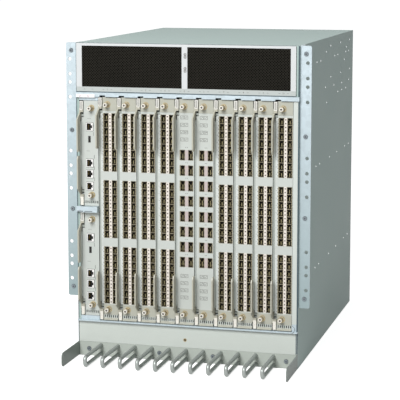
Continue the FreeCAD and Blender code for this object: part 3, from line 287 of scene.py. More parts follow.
# ---------------------------------------------------------------- shelves, rails and divider
# Galvanised sheet: the lower shelf with its ledge, the upper shelf with its slotted rail,
# and the bracket between the two control cards. Spot welded, and left bare.
BRIGHT_ZINC = (0.475, 0.555, 0.595)
RAIL_FRONT = -308.0
PLATE_FRONT = -309.0
PLATE_FOOT = 508.2
PLATE_HEAD = 514.8
STUD_LEVEL = 511.5
LIP_FRONT = -311.2
zinc = coat("galvanised sheet", BRIGHT_ZINC, 0.42, spread=0.05, cloud=150.0, depth=0.02,
            metallic=0.3, spangle=True)
dress(zinc, "card_shelves", "control_divider")
filler_paint = coat("filler paint", (0.55, 0.59, 0.555), 0.5)
dress(filler_paint, "side_filler")
shelf_low = extent("card_shelves")[0]


def round_bar(bm, start, end, radius, sides=20, end_radius=None):
    """A round bar, or a taper, between two points."""
    start, end = Vector(start), Vector(end)
    run = end - start
    matrix = (Matrix.Translation((start + end) / 2)
              @ run.to_track_quat("Z", "Y").to_matrix().to_4x4())
    bmesh.ops.create_cone(bm, cap_ends=True, segments=sides, radius1=radius,
                          radius2=radius if end_radius is None else end_radius,
                          depth=run.length, matrix=matrix)


def ring(bm, middle, outer, inner, stand, sides=24):
    """A flat washer or rim that stands towards the front; middle is at its back."""
    x, y, z = middle
    loops = []
    for radius, depth in ((outer, 0.0), (outer, stand), (inner, stand), (inner, 0.0)):
        loops.append([bm.verts.new((x + radius * math.cos(2 * math.pi * turn / sides), y - depth,
                                    z + radius * math.sin(2 * math.pi * turn / sides)))
                      for turn in range(sides)])
    for number, loop in enumerate(loops):
        following = loops[(number + 1) % 4]
        for turn in range(sides):
            after = (turn + 1) % sides
            bm.faces.new((loop[turn], following[turn], following[after], loop[after]))
    bmesh.ops.recalc_face_normals(bm, faces=bm.faces)


# the white plate in front of the rail, above the control cards, with its two studs
plate_white = coat("white plate", (0.90, 0.89, 0.90), 0.45, spread=0.02)
stud_pink = coat("stud rim", (0.46, 0.35, 0.38), 0.5, spread=0.1)
bm = bmesh.new()
block(bm, (shelf_low.x + 1.2, PLATE_FRONT, PLATE_FOOT),
      (shelf_low.x + 38.4, RAIL_FRONT, PLATE_HEAD), 0.3)
made("rail_plate", bm, plate_white, "chassis")
bm = bmesh.new()
for x in (shelf_low.x + 9.0, shelf_low.x + 25.5):
    ring(bm, (x, PLATE_FRONT, STUD_LEVEL), 2.1, 1.3, 0.3, 16)
made("rail_plate_studs", bm, stud_pink, "chassis")
# the divider's dark slots, and the curved lip of the end block
slot_dark = coat("slot shadow", (0.02, 0.021, 0.022), 0.8, spread=0.2)
divider_low = extent("control_divider")[0]
bm = bmesh.new()
for x0, x1, z0, z1 in ((3.5, 15.0, 287.4, 288.6), (18.0, 34.0, 287.4, 288.4)):
    block(bm, (divider_low.x + x0, divider_low.y - 0.25, z0),
          (divider_low.x + x1, divider_low.y + 0.4, z1), 0.1)
made("divider_slots", bm, slot_dark, "chassis")
bm = bmesh.new()
curve = [(208.4 + 5.2 * math.sin(math.radians(turn)), 78.2 + 6.8 * math.cos(math.radians(turn)))
         for turn in range(0, 181, 15)]
for (x0, z0), (x1, z1) in zip(curve, curve[1:]):
    round_bar(bm, (x0, LIP_FRONT, z0), (x1, LIP_FRONT, z1), 0.35, 8)
made("end_block_lip", bm, slot_dark, "chassis")

# ---------------------------------------------------------------- backplane
# A thick glass fibre board across the chassis, with rows of header connectors that the
# cards mate with.
board_green = coat("solder mask green", (0.035, 0.125, 0.06), 0.35, spread=0.25, cloud=60.0)
dress(board_green, "backplane")

# ---------------------------------------------------------------- rear bulkhead, supplies and fans
# The rear: a plain zinc bulkhead with louvres, four power supplies across the top and three
# fan modules with black moulded rotors behind ring guards of steel wire.
GUARD_RINGS = 6
GUARD_STEP = 10.2
GUARD_WIRE = 0.9
SCREW_INSET = 7
INLET_SIDE = 28.0
INLET_RIM = 1.6
rear_zinc = coat("rear zinc", (0.52, 0.56, 0.57), 0.45, spread=0.08, cloud=120.0, metallic=0.6,
                 spangle=True)
module_steel = coat("module steel", (0.46, 0.49, 0.48), 0.4, spread=0.05, cloud=60.0,
                    stretch=(1.0, 1.0, 0.06), metallic=0.7)
rotor_black = coat("black moulding", (0.018, 0.018, 0.02), 0.5, spread=0.2)
wire_steel = coat("guard wire", (0.62, 0.64, 0.64), 0.28, spread=0.05, metallic=0.9)
lens_green = coat("lamp lens", (0.06, 0.42, 0.12), 0.2, spread=0.1)
dress(rear_zinc, "rear_bulkhead")
dress(module_steel, *[f"power_supply_{n}" for n in (1, 2, 3, 4)],
      *[f"fan_module_{n}" for n in (1, 2, 3)])
dress(rotor_black, *[f"fan_rotor_{n}" for n in (1, 2, 3)])

guard_tree, given, result = new_tree("Ring Guard", [
    ("Rings", "Int"), ("Ring Step", "Float"), ("Spokes", "Int"), ("Wire", "Float"),
    ("Finish", "Material")])
centres = add(guard_tree, "GeometryNodeMeshLine", Count=given["Rings"], Offset=(0.0, 0.0, 0.0))
round_wire = add(guard_tree, "GeometryNodeCurvePrimitiveCircle", Resolution=48,
                 Radius=given["Ring Step"])
order = add(guard_tree, "GeometryNodeInputIndex")
size = maths(guard_tree, "ADD", order.outputs[0], 1.0)
rings = add(guard_tree, "GeometryNodeInstanceOnPoints", Points=centres.outputs[0],
            Instance=round_wire.outputs[0], Scale=size)
reach = maths(guard_tree, "MULTIPLY", given["Rings"], given["Ring Step"])
tip = add(guard_tree, "ShaderNodeCombineXYZ", X=reach)
spoke = add(guard_tree, "GeometryNodeCurvePrimitiveLine", End=tip.outputs[0])
hub = add(guard_tree, "GeometryNodeMeshLine", Count=given["Spokes"], Offset=(0.0, 0.0, 0.0))
part_turn = maths(guard_tree, "DIVIDE", math.tau, given["Spokes"])
turned = maths(guard_tree, "MULTIPLY_ADD", order.outputs[0], part_turn, math.radians(45))
about = add(guard_tree, "ShaderNodeCombineXYZ", Z=turned)
spokes = add(guard_tree, "GeometryNodeInstanceOnPoints", Points=hub.outputs[0],
             Instance=spoke.outputs[0], Rotation=about.outputs[0])
wires = add(guard_tree, "GeometryNodeJoinGeometry")
for bent in (spokes, rings):
    guard_tree.links.new(bent.outputs[0], wires.inputs[0])
single = add(guard_tree, "GeometryNodeRealizeInstances", Geometry=wires.outputs[0])
section = add(guard_tree, "GeometryNodeCurvePrimitiveCircle", Resolution=8, Radius=given["Wire"])
solid = add(guard_tree, "GeometryNodeCurveToMesh", {"label": "wire"}, Curve=single.outputs[0],
            Profile_Curve=section.outputs[0], Fill_Caps=True)
upright = add(guard_tree, "GeometryNodeTransform", Geometry=solid.outputs[0],
              Rotation=(math.radians(90), 0.0, 0.0))
places = add(guard_tree, "GeometryNodeInstanceOnPoints", Points=given["Geometry"],
             Instance=upright.outputs[0])
close_tree(guard_tree, given, result, places.outputs[0])


def border(bm, corner, outer, inner, front, back, edge=0.0):
    """Four bars round an opening, whose bounds are left, foot, right and head."""
    x, z = corner
    for left, foot, right, head in ((outer[0], outer[1], inner[0], outer[3]),
                                    (inner[2], outer[1], outer[2], outer[3]),
                                    (inner[0], outer[1], inner[2], inner[1]),
                                    (inner[0], inner[3], inner[2], outer[3])):
        block(bm, (x + left, front, z + foot), (x + right, back, z + head), edge)


def lamp(body, x, z, radius, tip):
    """A small domed status lamp on the rear of a module."""
    bm = bmesh.new()
    round_bar(bm, (x, rear - 0.2, z), (x, rear + 1.2, z), radius, 16, tip)
    made(f"{body}_lamp", bm, lens_green, body)


rear = cover_high.y
for number in (1, 2, 3):
    body = f"fan_module_{number}"
    low, high = extent(body)
    middle, level = (low.x + high.x) / 2, (low.z + high.z) / 2
    grown(f"{body}_guard", at_points([(middle, rear + 1.2, level)]), guard_tree, wire_steel, body,
          "screw_steel", Rings=GUARD_RINGS, Ring_Step=GUARD_STEP * MM, Spokes=4,
          Wire=GUARD_WIRE * MM)
    bm = bmesh.new()
    for z in (low.z + SCREW_INSET, high.z - SCREW_INSET):
        for x in (low.x + SCREW_INSET, high.x - SCREW_INSET):
            round_bar(bm, (x, rear - 0.2, z), (x, rear + 2.2, z), 4.2, 20, 3.6)
            block(bm, (x - 2.6, rear + 2.0, z - 0.5), (x + 2.6, rear + 2.5, z + 0.5))
    made(f"{body}_screws", bm, wire_steel, body)
    lamp(body, high.x - 16, high.z - 14, 2.2, 1.5)
for number in (1, 2, 3, 4):
    body = f"power_supply_{number}"
    low = extent(body)[0]
    inlet = (low.x + 52, low.z + 13)
    bm = bmesh.new()
    for x, z in ((5, 5), (98.5, 5), (5, 83), (98.5, 83)):
        round_bar(bm, (low.x + x, rear - 0.2, low.z + z), (low.x + x, rear + 1.6, low.z + z),
                  3.2, 18, 2.6)
    for x, z in ((14, 18), (8, 9), (20, 9)):
        block(bm, (inlet[0] + x - 1.1, rear - 12, inlet[1] + z - 3),
              (inlet[0] + x + 1.1, rear - 1, inlet[1] + z + 3), 0.4)
    made(f"{body}_pins", bm, wire_steel, body)
    bm = bmesh.new()
    border(bm, inlet, (-INLET_RIM, -INLET_RIM, INLET_SIDE + INLET_RIM, INLET_SIDE + INLET_RIM),
           (0, 0, INLET_SIDE, INLET_SIDE), rear - 0.2, rear + 1.4, 0.3)
    made(f"{body}_inlet_rim", bm, rotor_black, body)
    lamp(body, inlet[0] + 40, inlet[1] + 24, 2.0, 1.4)

# ---------------------------------------------------------------- port cards
# Eight line cards: a painted steel face with three banks of transceiver cages on each side
# of a numbered strip, moulded end plates, captive screws, and a board with heat sinks.
CARD_PAINT = (0.505, 0.535, 0.505)
SOCKET = (9.2, 13.2)
SOCKET_FIRST = 33.2
SOCKET_STEP = 14.1
BANK_STEP = 129.8
LEFT_SOCKET = 11.2
RIGHT_SOCKET = 26.8
CARD_RIGHT = 37.75
SLOT_PITCH = 38.15
FACE = -304.0
FIRST_SLOT = -212.575
FACE_BACK = -0.3024  # metres, as a shader reads it
BOARD_PLACE = 0.6186  # the board's middle and half its thickness, as shares of a slot
BOARD_HALF = 0.034
GASKET_FOOT = 35.5
GASKET_HEAD = 39.5
SCREW_DROP = 14.4
SCREW_RISE = 21.2
RIM = 0.45

rows_tree, given, result = new_tree("Rows of Copies", [
    ("Columns", "Int"), ("Column Step", "Vector"), ("Rows", "Int"), ("Row Step", "Vector"),
    ("Banks", "Int"), ("Bank Step", "Vector"), ("Finish", "Material")])
copied = given["Geometry"]
for count, step in (("Columns", "Column Step"), ("Rows", "Row Step"), ("Banks", "Bank Step")):
    line = add(rows_tree, "GeometryNodeMeshLine", Count=given[count], Offset=given[step])
    copied = add(rows_tree, "GeometryNodeInstanceOnPoints", Points=line.outputs[0],
                 Instance=copied).outputs[0]
close_tree(rows_tree, given, result, copied)


def in_rows(name, bm, finish, body, slot, columns=(1, 0), rows=(1, 0), banks=(1, 0)):
    """Repeats a hand-built mesh to the right and upwards."""
    bm.transform(Matrix.Scale(MM, 4))
    seed = bpy.data.meshes.new(name)
    bm.to_mesh(seed)
    bm.free()
    return grown(name, seed, rows_tree, finish, body, slot,
                 Columns=columns[0], Column_Step=(columns[1] * MM, 0, 0),
                 Rows=rows[0], Row_Step=(0, 0, rows[1] * MM),
                 Banks=banks[0], Bank_Step=(0, 0, banks[1] * MM))


def card_finish(name, face_colour):
    """Paint on a card's face, solder mask on its board and zinc on the rest."""
    material = coat(name, face_colour, 0.5, spread=0.03, cloud=18.0)
    tree = material.node_tree
    shader = tree.nodes["Principled BSDF"]
    paint = shader.inputs["Base Color"].links[0].from_socket
    axes = object_axes(tree)
    behind = maths(tree, "GREATER_THAN", axes["Y"], FACE_BACK)
    slots = maths(tree, "DIVIDE", maths(tree, "SUBTRACT", axes["X"], FIRST_SLOT * MM),
                  SLOT_PITCH * MM)
    board = maths(tree, "COMPARE", maths(tree, "FRACT", slots), BOARD_PLACE, BOARD_HALF)
    inner = blend(tree, board, (0.42, 0.45, 0.44, 1.0), (0.035, 0.125, 0.06, 1.0))
    tree.links.new(blend(tree, behind, paint, inner), shader.inputs["Base Color"])
    return material


card_paint = card_finish("card face paint", CARD_PAINT)
# the cages are real metal, but their dark brown is partly painted shade for the inside of the
# openings
shaded_cage_metal = coat("cage bronze with painted shade", (0.105, 0.085, 0.05), 0.4, spread=0.3, cloud=260.0,
                  metallic=0.6)
collar_bronze = coat("collar bronze", (0.27, 0.24, 0.165), 0.4, spread=0.25, cloud=300.0,
                     metallic=0.5)
cage_dark = coat("cage shadow", (0.02, 0.015, 0.010), 0.7, spread=0.2)
tongue_olive = coat("spring tongue", (0.24, 0.21, 0.11), 0.38, spread=0.2, cloud=260.0,
                    metallic=0.6)
strip_cream = coat("printed strip", (0.72, 0.665, 0.605), 0.6, spread=0.03)
strip_grey = coat("number strip", (0.59, 0.62, 0.595), 0.6, spread=0.02)
mark_ink = coat("marking ink", (0.09, 0.08, 0.07), 0.7, spread=0.1)
faint_ink = coat("faint ink", (0.17, 0.18, 0.175), 0.7, spread=0.1)
end_cream = coat("end plate cream", (0.41, 0.413, 0.35), 0.5, spread=0.03, cloud=40.0)
brass = coat("brass", (0.42, 0.33, 0.17), 0.34, spread=0.12, cloud=200.0, metallic=0.7)
knob_cream = coat("knob cream", (0.76, 0.735, 0.665), 0.4, spread=0.03)
gasket_cloth = coat("gasket cloth", (0.34, 0.37, 0.34), 0.75, spread=0.10, cloud=500.0,
                    depth=0.12)
heat_sink = coat("anodised heat sink", (0.055, 0.058, 0.062), 0.4, spread=0.1, metallic=0.5)
chip_black = coat("chip moulding", (0.025, 0.025, 0.027), 0.6, spread=0.2)
dress(card_paint, *[f"port_card_{n}" for n in range(1, 9)])


def printed(name, lines, size, pitch, corner, finish, body):
    """Plain numbers, one under another, printed on a face that looks to the front."""
    letters = bpy.data.curves.new(name, "FONT")
    letters.body = "\n".join(lines)
    letters.size = size
    letters.space_line = pitch / size
    letters.resolution_u = 1
    letters.align_x = "CENTER"
    source = bpy.data.objects.new(name, letters)
    bpy.context.scene.collection.objects.link(source)
    graph = bpy.context.evaluated_depsgraph_get()
    mesh = bpy.data.meshes.new_from_object(source.evaluated_get(graph))
    bpy.data.objects.remove(source)
    mesh.transform(Matrix.Scale(MM, 4) @ Matrix.Translation(corner)
                   @ Matrix.Rotation(math.radians(90), 4, "X"))
    piece = linked(name, mesh, finish)
    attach(piece, body)
    return piece


def cages(body, left, low, socket, lefts, first, step, rows, banks, bank_step):
    """Sheet metal cages behind a card's openings, with a spring tongue and a dark header."""
    wide, tall = socket
    face = FACE + 0.3
    x, z = left + lefts[0], low + first
    spread = dict(columns=(2, lefts[1] - lefts[0]), rows=(rows, step), banks=(banks, bank_step))
    bm = bmesh.new()
    border(bm, (x, z), (0.05, 0.05, wide - 0.05, tall - 0.05), (0.4, 0.4, wide - 0.4, tall - 0.4),
           face, face + 24)
    in_rows(f"{body}_cages", bm, shaded_cage_metal, body, "screw_steel", **spread)
    bm = bmesh.new()
    for level in (0.18, 0.60):
        for side in (0.4, wide - 1.2):
            block(bm, (x + side, face + 0.2, z + tall * level),
                  (x + side + 0.8, face + 4, z + tall * (level + 0.2)), 0.15)
    block(bm, (x + wide * 0.42, face + 1.5, z + tall * 0.12),
          (x + wide * 0.60, face + 2.1, z + tall * 0.62), 0.15)
    in_rows(f"{body}_tongues", bm, tongue_olive, body, "screw_steel", **spread)
    bm = bmesh.new()
    block(bm, (x + 0.4, face + 11, z + 0.4), (x + wide - 0.4, face + 13, z + tall - 0.4))
    in_rows(f"{body}_headers", bm, cage_dark, body, "grille_black", **spread)
    for side, outer, inner in (("outer", 1.5, 0.5), ("inner", 0.2, 1.0)):
        bm = bmesh.new()
        start = x if side == "outer" else x + lefts[1] - lefts[0]
        border(bm, (start, z), (-outer, -RIM, wide + inner, tall + RIM), (0, 0, wide, tall),
               FACE - RIM, FACE, 0.1)
        in_rows(f"{body}_{side}_collars", bm, collar_bronze, body, "screw_steel",
                rows=(rows, step), banks=(banks, bank_step))


def captive_screws(body, x, levels):
    """Spring-loaded captive screws: a brass seat and knurled sleeve, and a bright knob."""
    seats, knobs, slots = bmesh.new(), bmesh.new(), bmesh.new()
    for z in levels:
        ring(seats, (x + 1.4, FACE - 0.1, z + 0.4), 6.2, 4.6, 0.9)
        round_bar(seats, (x, FACE - 0.1, z), (x, FACE - 2.4, z), 5.2, 24, 4.9)
        for turn in range(18):
            angle = math.tau * turn / 18
            dx, dz = 4.3 * math.cos(angle), 4.3 * math.sin(angle)
            round_bar(seats, (x + dx, FACE - 2.4, z + dz), (x + dx, FACE - 8.3, z + dz), 0.5, 6)
        round_bar(knobs, (x, FACE - 8.2, z), (x, FACE - 10.6, z), 3.9, 24, 3.7)
        ring(knobs, (x, FACE - 10.6, z), 3.7, 2.1, 2.0, 24)
        round_bar(slots, (x, FACE - 10.6, z), (x, FACE - 11.4, z), 2.1, 16)
    made(f"{body}_screw_seats", seats, brass, body)
    made(f"{body}_screw_knobs", knobs, knob_cream, body)
    made(f"{body}_screw_slots", slots, mark_ink, body)


def gasket(body, left, low, high):
    """Conductive cloth over foam, on the edge that faces the neighbouring card."""
    bm = bmesh.new()
    block(bm, (left + 0.5, FACE + 1.0, low), (left + 4.1, FACE + 5.0, high), 0.5)
    for foot, head in ((low - 9.5, low - 4.6), (high + 8.6, high + 13.5)):
        block(bm, (left + 3.0, FACE + 1.6, foot), (left + 7.9, FACE + 4.6, head), 0.3)
    made(f"{body}_gasket", bm, gasket_cloth, body)


def end_plates(body, left, low, high, foot_reach, head_reach):
    """Moulded plates over both ends of a card's face, beside the lever."""
    bm = bmesh.new()
    for foot, head in ((low + 10.8, low + foot_reach), (high - head_reach, high - 0.6)):
        block(bm, (left + 8.9, FACE - 0.5, foot), (left + CARD_RIGHT - 0.3, FACE, head), 0.25)
    made(f"{body}_end_plates", bm, end_cream, body)
    bm = bmesh.new()
    lip = [bm.verts.new((x, y, z)) for x in (left + 8.9, left + CARD_RIGHT - 0.3)
           for y, z in ((FACE, low + 4.4), (FACE - 3.4, low + 1.4), (FACE - 3.4, low + 0.6),
                        (FACE, low + 0.6))]
    for a in range(4):
        b = (a + 1) % 4
        bm.faces.new((lip[a], lip[b], lip[b + 4], lip[a + 4]))
    bm.faces.new(lip[:4])
    bm.faces.new(lip[4:])
    bmesh.ops.recalc_face_normals(bm, faces=bm.faces)
    made(f"{body}_foot_lip", bm, end_cream, body)


def board_parts(body, left, low):
    """Finned heat sinks and chips on the board, seen when the card is drawn out."""
    board = left + 24.8
    groups = (1, 0) if "control" in body else (3, 118.0)
    bm = bmesh.new()
    block(bm, (board, -200, low + 60), (board + 2.4, -150, low + 61.2))
    for z in range(0, 51, 3):
        block(bm, (board + 2.2, -200, low + 60 + z), (board + 9.6, -150, low + 61.2 + z))
    block(bm, (board, -200, low + 60), (board + 2.4, -150, low + 111.2), 0.3)
    in_rows(f"{body}_heat_sinks", bm, heat_sink, body, "fan_casing", rows=groups)
    bm = bmesh.new()
    for y in (-120, -60, 0):
        block(bm, (board, y, low + 72), (board + 2.0, y + 26, low + 98), 0.3)
    in_rows(f"{body}_chips", bm, chip_black, body, "rotor_black", rows=groups)


def fittings(body, left, low, high, screw):
    """What every card has: gasket, captive screws and board parts, and end plates if tall."""
    gasket(body, left, low.z + GASKET_FOOT, high.z - GASKET_HEAD)
    if "control" not in body:
        end_plates(body, left, low.z, high.z, 31.0, 26.4)
    captive_screws(body, left + screw, (high.z - SCREW_DROP, low.z + SCREW_RISE))
    board_parts(body, left, low.z)


for number in range(1, 9):
    body = f"port_card_{number}"
    low, high = extent(body)
    left = high.x - CARD_RIGHT
    cages(body, left, low.z, SOCKET, (LEFT_SOCKET, RIGHT_SOCKET), SOCKET_FIRST, SOCKET_STEP, 8,
          3, BANK_STEP)
    fittings(body, left, low, high, 17.2)
    bank_high = 7 * SOCKET_STEP + SOCKET[1]
    bm = bmesh.new()
    block(bm, (left + 20.5, FACE - 0.3, low.z + SOCKET_FIRST - 0.4),
          (left + 26.7, FACE, low.z + SOCKET_FIRST + bank_high + 0.4), 0.1)
    in_rows(f"{body}_strip", bm, strip_cream, body, "lever_cream", banks=(3, BANK_STEP))
    bm = bmesh.new()
    block(bm, (left + 5.0, FACE - 0.15, low.z + SOCKET_FIRST - 0.4),
          (left + 10.6, FACE, low.z + SOCKET_FIRST + bank_high + 0.4), 0.05)
    in_rows(f"{body}_number_strip", bm, strip_grey, body, "card_face", banks=(3, BANK_STEP))
    bm = bmesh.new()
    for rise in (3.1, 10.1):
        z = low.z + SOCKET_FIRST + rise
        round_bar(bm, (left + 23.6, FACE - 0.3, z), (left + 23.6, FACE - 0.42, z), 1.35, 14)
    in_rows(f"{body}_dots", bm, mark_ink, body, "grille_black", rows=(8, SOCKET_STEP),
            banks=(3, BANK_STEP))
    bm = bmesh.new()
    for rise in (2.2, 9.0):
        block(bm, (left + 8.4, FACE - 0.25, low.z + SOCKET_FIRST + rise),
              (left + 9.5, FACE - 0.15, low.z + SOCKET_FIRST + rise + 1.9))
    in_rows(f"{body}_lamps", bm, faint_ink, body, "grille_black", rows=(8, SOCKET_STEP),
            banks=(3, BANK_STEP))
    for bank in range(3):
        top = low.z + SOCKET_FIRST + bank * BANK_STEP + 7 * SOCKET_STEP + 5.0
        printed(f"{body}_numbers_{bank + 1}", [str(bank * 8 + 8 - row) for row in range(8)],
                3.0, SOCKET_STEP, (left + 6.7, FACE - 0.2, top), faint_ink, body)

# ---------------------------------------------------------------- core cards
# The two middle cards carry eight rows of wide double density cages, with outlined link
# diagrams above and below them.
dress(card_paint, "core_card_1", "core_card_2")
CORE_SOCKET = (8.6, 19.1)
CORE_STEP = 29.5
diagram_ink = coat("diagram ink", (0.14, 0.14, 0.13), 0.7, spread=0.1)
row_strip = coat("rose strip", (0.48, 0.41, 0.395), 0.6, spread=0.10, cloud=420.0)
for number in (1, 2):
    body = f"core_card_{number}"
    low, high = extent(body)
    left = high.x - CARD_RIGHT
    cages(body, left, low.z, CORE_SOCKET, (10.8, 26.6), 113.0, CORE_STEP, 8, 1, 0)
    fittings(body, left, low, high, 17.2)
    bm = bmesh.new()
    block(bm, (left + 19.6, FACE - 0.3, low.z + 113.2), (left + 26.4, FACE, low.z + 132.0), 0.1)
    in_rows(f"{body}_row_strips", bm, row_strip, body, "lever_cream", rows=(8, CORE_STEP))
    bm = bmesh.new()
    for x in (21.4, 24.4):
        round_bar(bm, (left + x, FACE, low.z + 137.4), (left + x, FACE - 0.12, low.z + 137.4),
                  0.7, 10)
    in_rows(f"{body}_dots", bm, mark_ink, body, "grille_black", rows=(9, CORE_STEP))
    bm = bmesh.new()
    for x in (11.0, 19.0):
        for x0, z0, x1, z1 in ((0, 0, 7, 0.6), (0, 6.2, 7, 6.8), (0, 0.6, 0.6, 6.2),
                               (6.4, 0.6, 7, 6.2), (1.6, 2.0, 3.2, 3.0), (3.8, 3.8, 5.4, 4.8)):
            block(bm, (left + x + x0, FACE - 0.12, low.z + 50 + z0),
                  (left + x + x1, FACE, low.z + 50 + z1))
    in_rows(f"{body}_diagrams", bm, diagram_ink, body, "grille_black", rows=(4, 14.0),
            banks=(2, 305.5))

# ---------------------------------------------------------------- control cards
# Two half-height management cards, one above the other, with shielded network jacks, a
# data port and status marks.
dress(card_paint, "control_card_1", "control_card_2")
shell_steel = coat("jack shell steel", (0.90, 0.89, 0.87), 0.3, spread=0.04, metallic=0.2)
jack_dark = coat("jack interior", (0.012, 0.010, 0.009), 0.6, spread=0.2)
gold = coat("contact gold", (0.70, 0.50, 0.18), 0.3, spread=0.05, metallic=0.9)
JACK_DROPS = (56.9, 127.5, 148.5, 172.5)
JACK_OPENING = (0, 0, 11.0, 13.0)
JACK_SHELL = (-1.3, -1.3, 12.4, 14.3)
PORT_DROP = 81.1
for number in (1, 2):
    body = f"control_card_{number}"
    low, high = extent(body)
    left = high.x - CARD_RIGHT
    fittings(body, left, low, high, 22.9)
    shells, insides, contacts = bmesh.new(), bmesh.new(), bmesh.new()
    for drop in JACK_DROPS:
        x, z = left + 15.0, high.z - drop
        border(shells, (x, z), JACK_SHELL, JACK_OPENING, FACE - 1.5, FACE - 1.0, 0.2)
        for rise in (0.3, 9.3):
            block(shells, (x + 8.2, FACE - 1.1, z + rise),
                  (x + 10.8, FACE - 0.9, z + rise + 3.4), 0.2)
        border(insides, (x, z), (0.05, 0.05, 10.95, 12.95), (0.5, 0.5, 10.5, 12.5),
               FACE - 0.7, FACE + 10)
        block(insides, (x + 0.5, FACE + 8, z + 0.5), (x + 10.5, FACE + 9, z + 12.5))
        border(insides, (x, z), (-1.9, -1.9, 13.0, 14.9), JACK_SHELL, FACE - 0.15, FACE)
        for row in range(8):
            block(contacts, (x + 1.4, FACE + 3.0, z + 2.6 + row * 1.02),
                  (x + 1.9, FACE + 7.8, z + 3.0 + row * 1.02))
    made(f"{body}_jack_shells", shells, shell_steel, body)
    made(f"{body}_jack_backs", insides, jack_dark, body)
    made(f"{body}_jack_contacts", contacts, gold, body)
    bm = bmesh.new()
    x, z = left + 17.4, high.z - PORT_DROP
    block(bm, (x + 0.1, FACE + 3, z + 0.1), (x + 4.9, FACE + 4, z + 12.7))
    for level in (0.1, 11.5):
        block(bm, (x + 0.1, FACE + 0.1, z + level), (x + 4.9, FACE + 3, z + level + 1.2))
    block(bm, (x + 1.6, FACE + 0.4, z + 2.0), (x + 3.2, FACE + 4, z + 10.8), 0.2)
    made(f"{body}_data_tongue", bm, jack_dark, body)
    bm = bmesh.new()
    for x in (17.4, 21.4):
        round_bar(bm, (left + x, FACE, high.z - 34.6), (left + x, FACE - 0.15, high.z - 34.6),
                  0.9, 10)
    for x, z, wide in ((13.8, 97.8, 6.5), (27.6, 50, 0.9), (27.6, 68, 0.9), (29.2, 112, 0.9),
                       (29.2, 134, 0.9), (29.2, 156, 0.9)):
        tall = 0.6 if wide > 1 else 7.0
        block(bm, (left + x, FACE - 0.12, high.z - z), (left + x + wide, FACE, high.z - z + tall))
    made(f"{body}_marks", bm, faint_ink, body)

# ---------------------------------------------------------------- ejector levers
# Moulded cream levers at both ends of every card. Each one turns on a pin; the upper ones have a
# framed window on the thumb tab, and the lower ones a plain tab with a dimple.
lever_cream = coat("lever cream", (0.42, 0.41, 0.335), 0.45, spread=0.05, cloud=30.0)
tab_white = coat("tab frame white", (0.78, 0.765, 0.72), 0.4, spread=0.02)
window_grey = coat("tab window", (0.40, 0.40, 0.37), 0.4, spread=0.05)
TAB = (0, 0, 6.3, 17)
TAB_WINDOW = (1.3, 1.3, 5.0, 15.7)
TAB_FRONT = -307.0
levers = [name for name in frame["bodies"] if "_lever_" in name]
dress(lever_cream, *levers)
for body in levers:
    low, high = extent(body)
    upper = "_upper_" in body
    foot = high.z - TAB[3] if upper else low.z
    left, right = high.x - TAB[2], high.x
    front = TAB_FRONT
    bm = bmesh.new()
    if upper:
        border(bm, (left, foot), TAB, TAB_WINDOW, front - 0.5, front, 0.15)
    else:
        block(bm, (left + 0.1, front - 0.5, foot + 0.4), (right, front, foot + 16.6), 0.3)
    made(f"{body}_frame", bm, tab_white if upper else knob_cream, body)
    bm = bmesh.new()
    if upper:
        block(bm, (left + 1.3, front - 0.15, foot + 1.3), (left + 5.0, front, foot + 15.7))
        for rise in (4.5, 8.0, 11.5):
            block(bm, (left + 2.4, front - 0.3, foot + rise),
                  (left + 3.9, front - 0.15, foot + rise + 0.7))
        made(f"{body}_window", bm, window_grey, body)
    else:
        round_bar(bm, (left + 3.2, front - 0.5, foot + 8.5), (left + 3.2, front - 0.6, foot + 8.5),
                  0.6, 10)
        made(f"{body}_dimple", bm, window_grey, body)

# ---------------------------------------------------------------- vent bezel and grilles
# The painted frame over the top air inlet, with printed slot numbers on its sill and two
# pairs of fasteners on its mullion. Two fine black lattices and a filter foam lie behind it.
LATTICE_PITCH = 5.24
LATTICE_WIRE = 1.15
STILE_LEFT = 12.0
STILE_RIGHT = 10.0
MULLION = 11.0
SILL = 10.4
HEAD = 4.2
TOP_FOLD = 1.5
mesh_black = coat("lattice black", (0.022, 0.0205, 0.016), 0.6, spread=0.2, shine=0.1)
foam_dark = coat("filter foam", (0.002, 0.0018, 0.0015), 0.9, spread=0.3, cloud=900.0, shine=0.0)
vent_low, vent_high = extent("vent_bezel")
sill, head = vent_low.z + SILL, vent_high.z - TOP_FOLD - HEAD
vent_paint = coat("vent bezel paint", (0.575, 0.595, 0.60), 0.45, spread=0.02, cloud=14.0)
toned(vent_paint, "Z", sill, sill - 0.1, (0.43, 0.462, 0.448))
dress(vent_paint, "vent_bezel")
wide = (vent_high.x - vent_low.x - STILE_LEFT - STILE_RIGHT - MULLION) / 2
windows = [(start, start + wide) for start in (vent_low.x + STILE_LEFT,
                                               vent_high.x - STILE_RIGHT - wide)]
# painted shadow: dark lines along the foot and the head of the bezel's front
bm = bmesh.new()
for foot, tall in ((vent_low.z + 0.1, 1.3), (vent_high.z - 0.8, 0.7)):
    block(bm, (vent_low.x + 0.3, vent_low.y - 0.1, foot),
          (vent_high.x - 0.3, vent_low.y, foot + tall))
made("vent_shadow_lines", bm, gap_shade, "chassis")
for slot in range(1, 11):
    middle = FIRST_SLOT + SLOT_PITCH * (slot + 0.5)
    printed(f"slot_number_{slot}", [str(slot)], 4.6, 4.6,
            (middle, vent_low.y - 0.05, vent_low.z + 4.2), mark_ink, "chassis")
bm = bmesh.new()
for x in (-9.5, 6.5):
    block(bm, (FIRST_SLOT + SLOT_PITCH / 2 + x, vent_low.y - 0.1, vent_low.z + 5.4),
          (FIRST_SLOT + SLOT_PITCH / 2 + x + 3.4, vent_low.y, vent_low.z + 6.0))
in_rows("slot_dashes", bm, faint_ink, "chassis", "grille_black", columns=(11, SLOT_PITCH))
bm = bmesh.new()
middle = (windows[0][1] + windows[1][0]) / 2 + 1.2
for z in (vent_low.z + 72.5, vent_low.z + 46.3):
    for rise in (-2.5, 2.5):
        ring(bm, (middle, vent_low.y, z + rise), 2.6, 1.8, 0.4, 20)
        ring(bm, (middle, vent_low.y, z + rise), 0.8, 0.3, 0.4, 10)
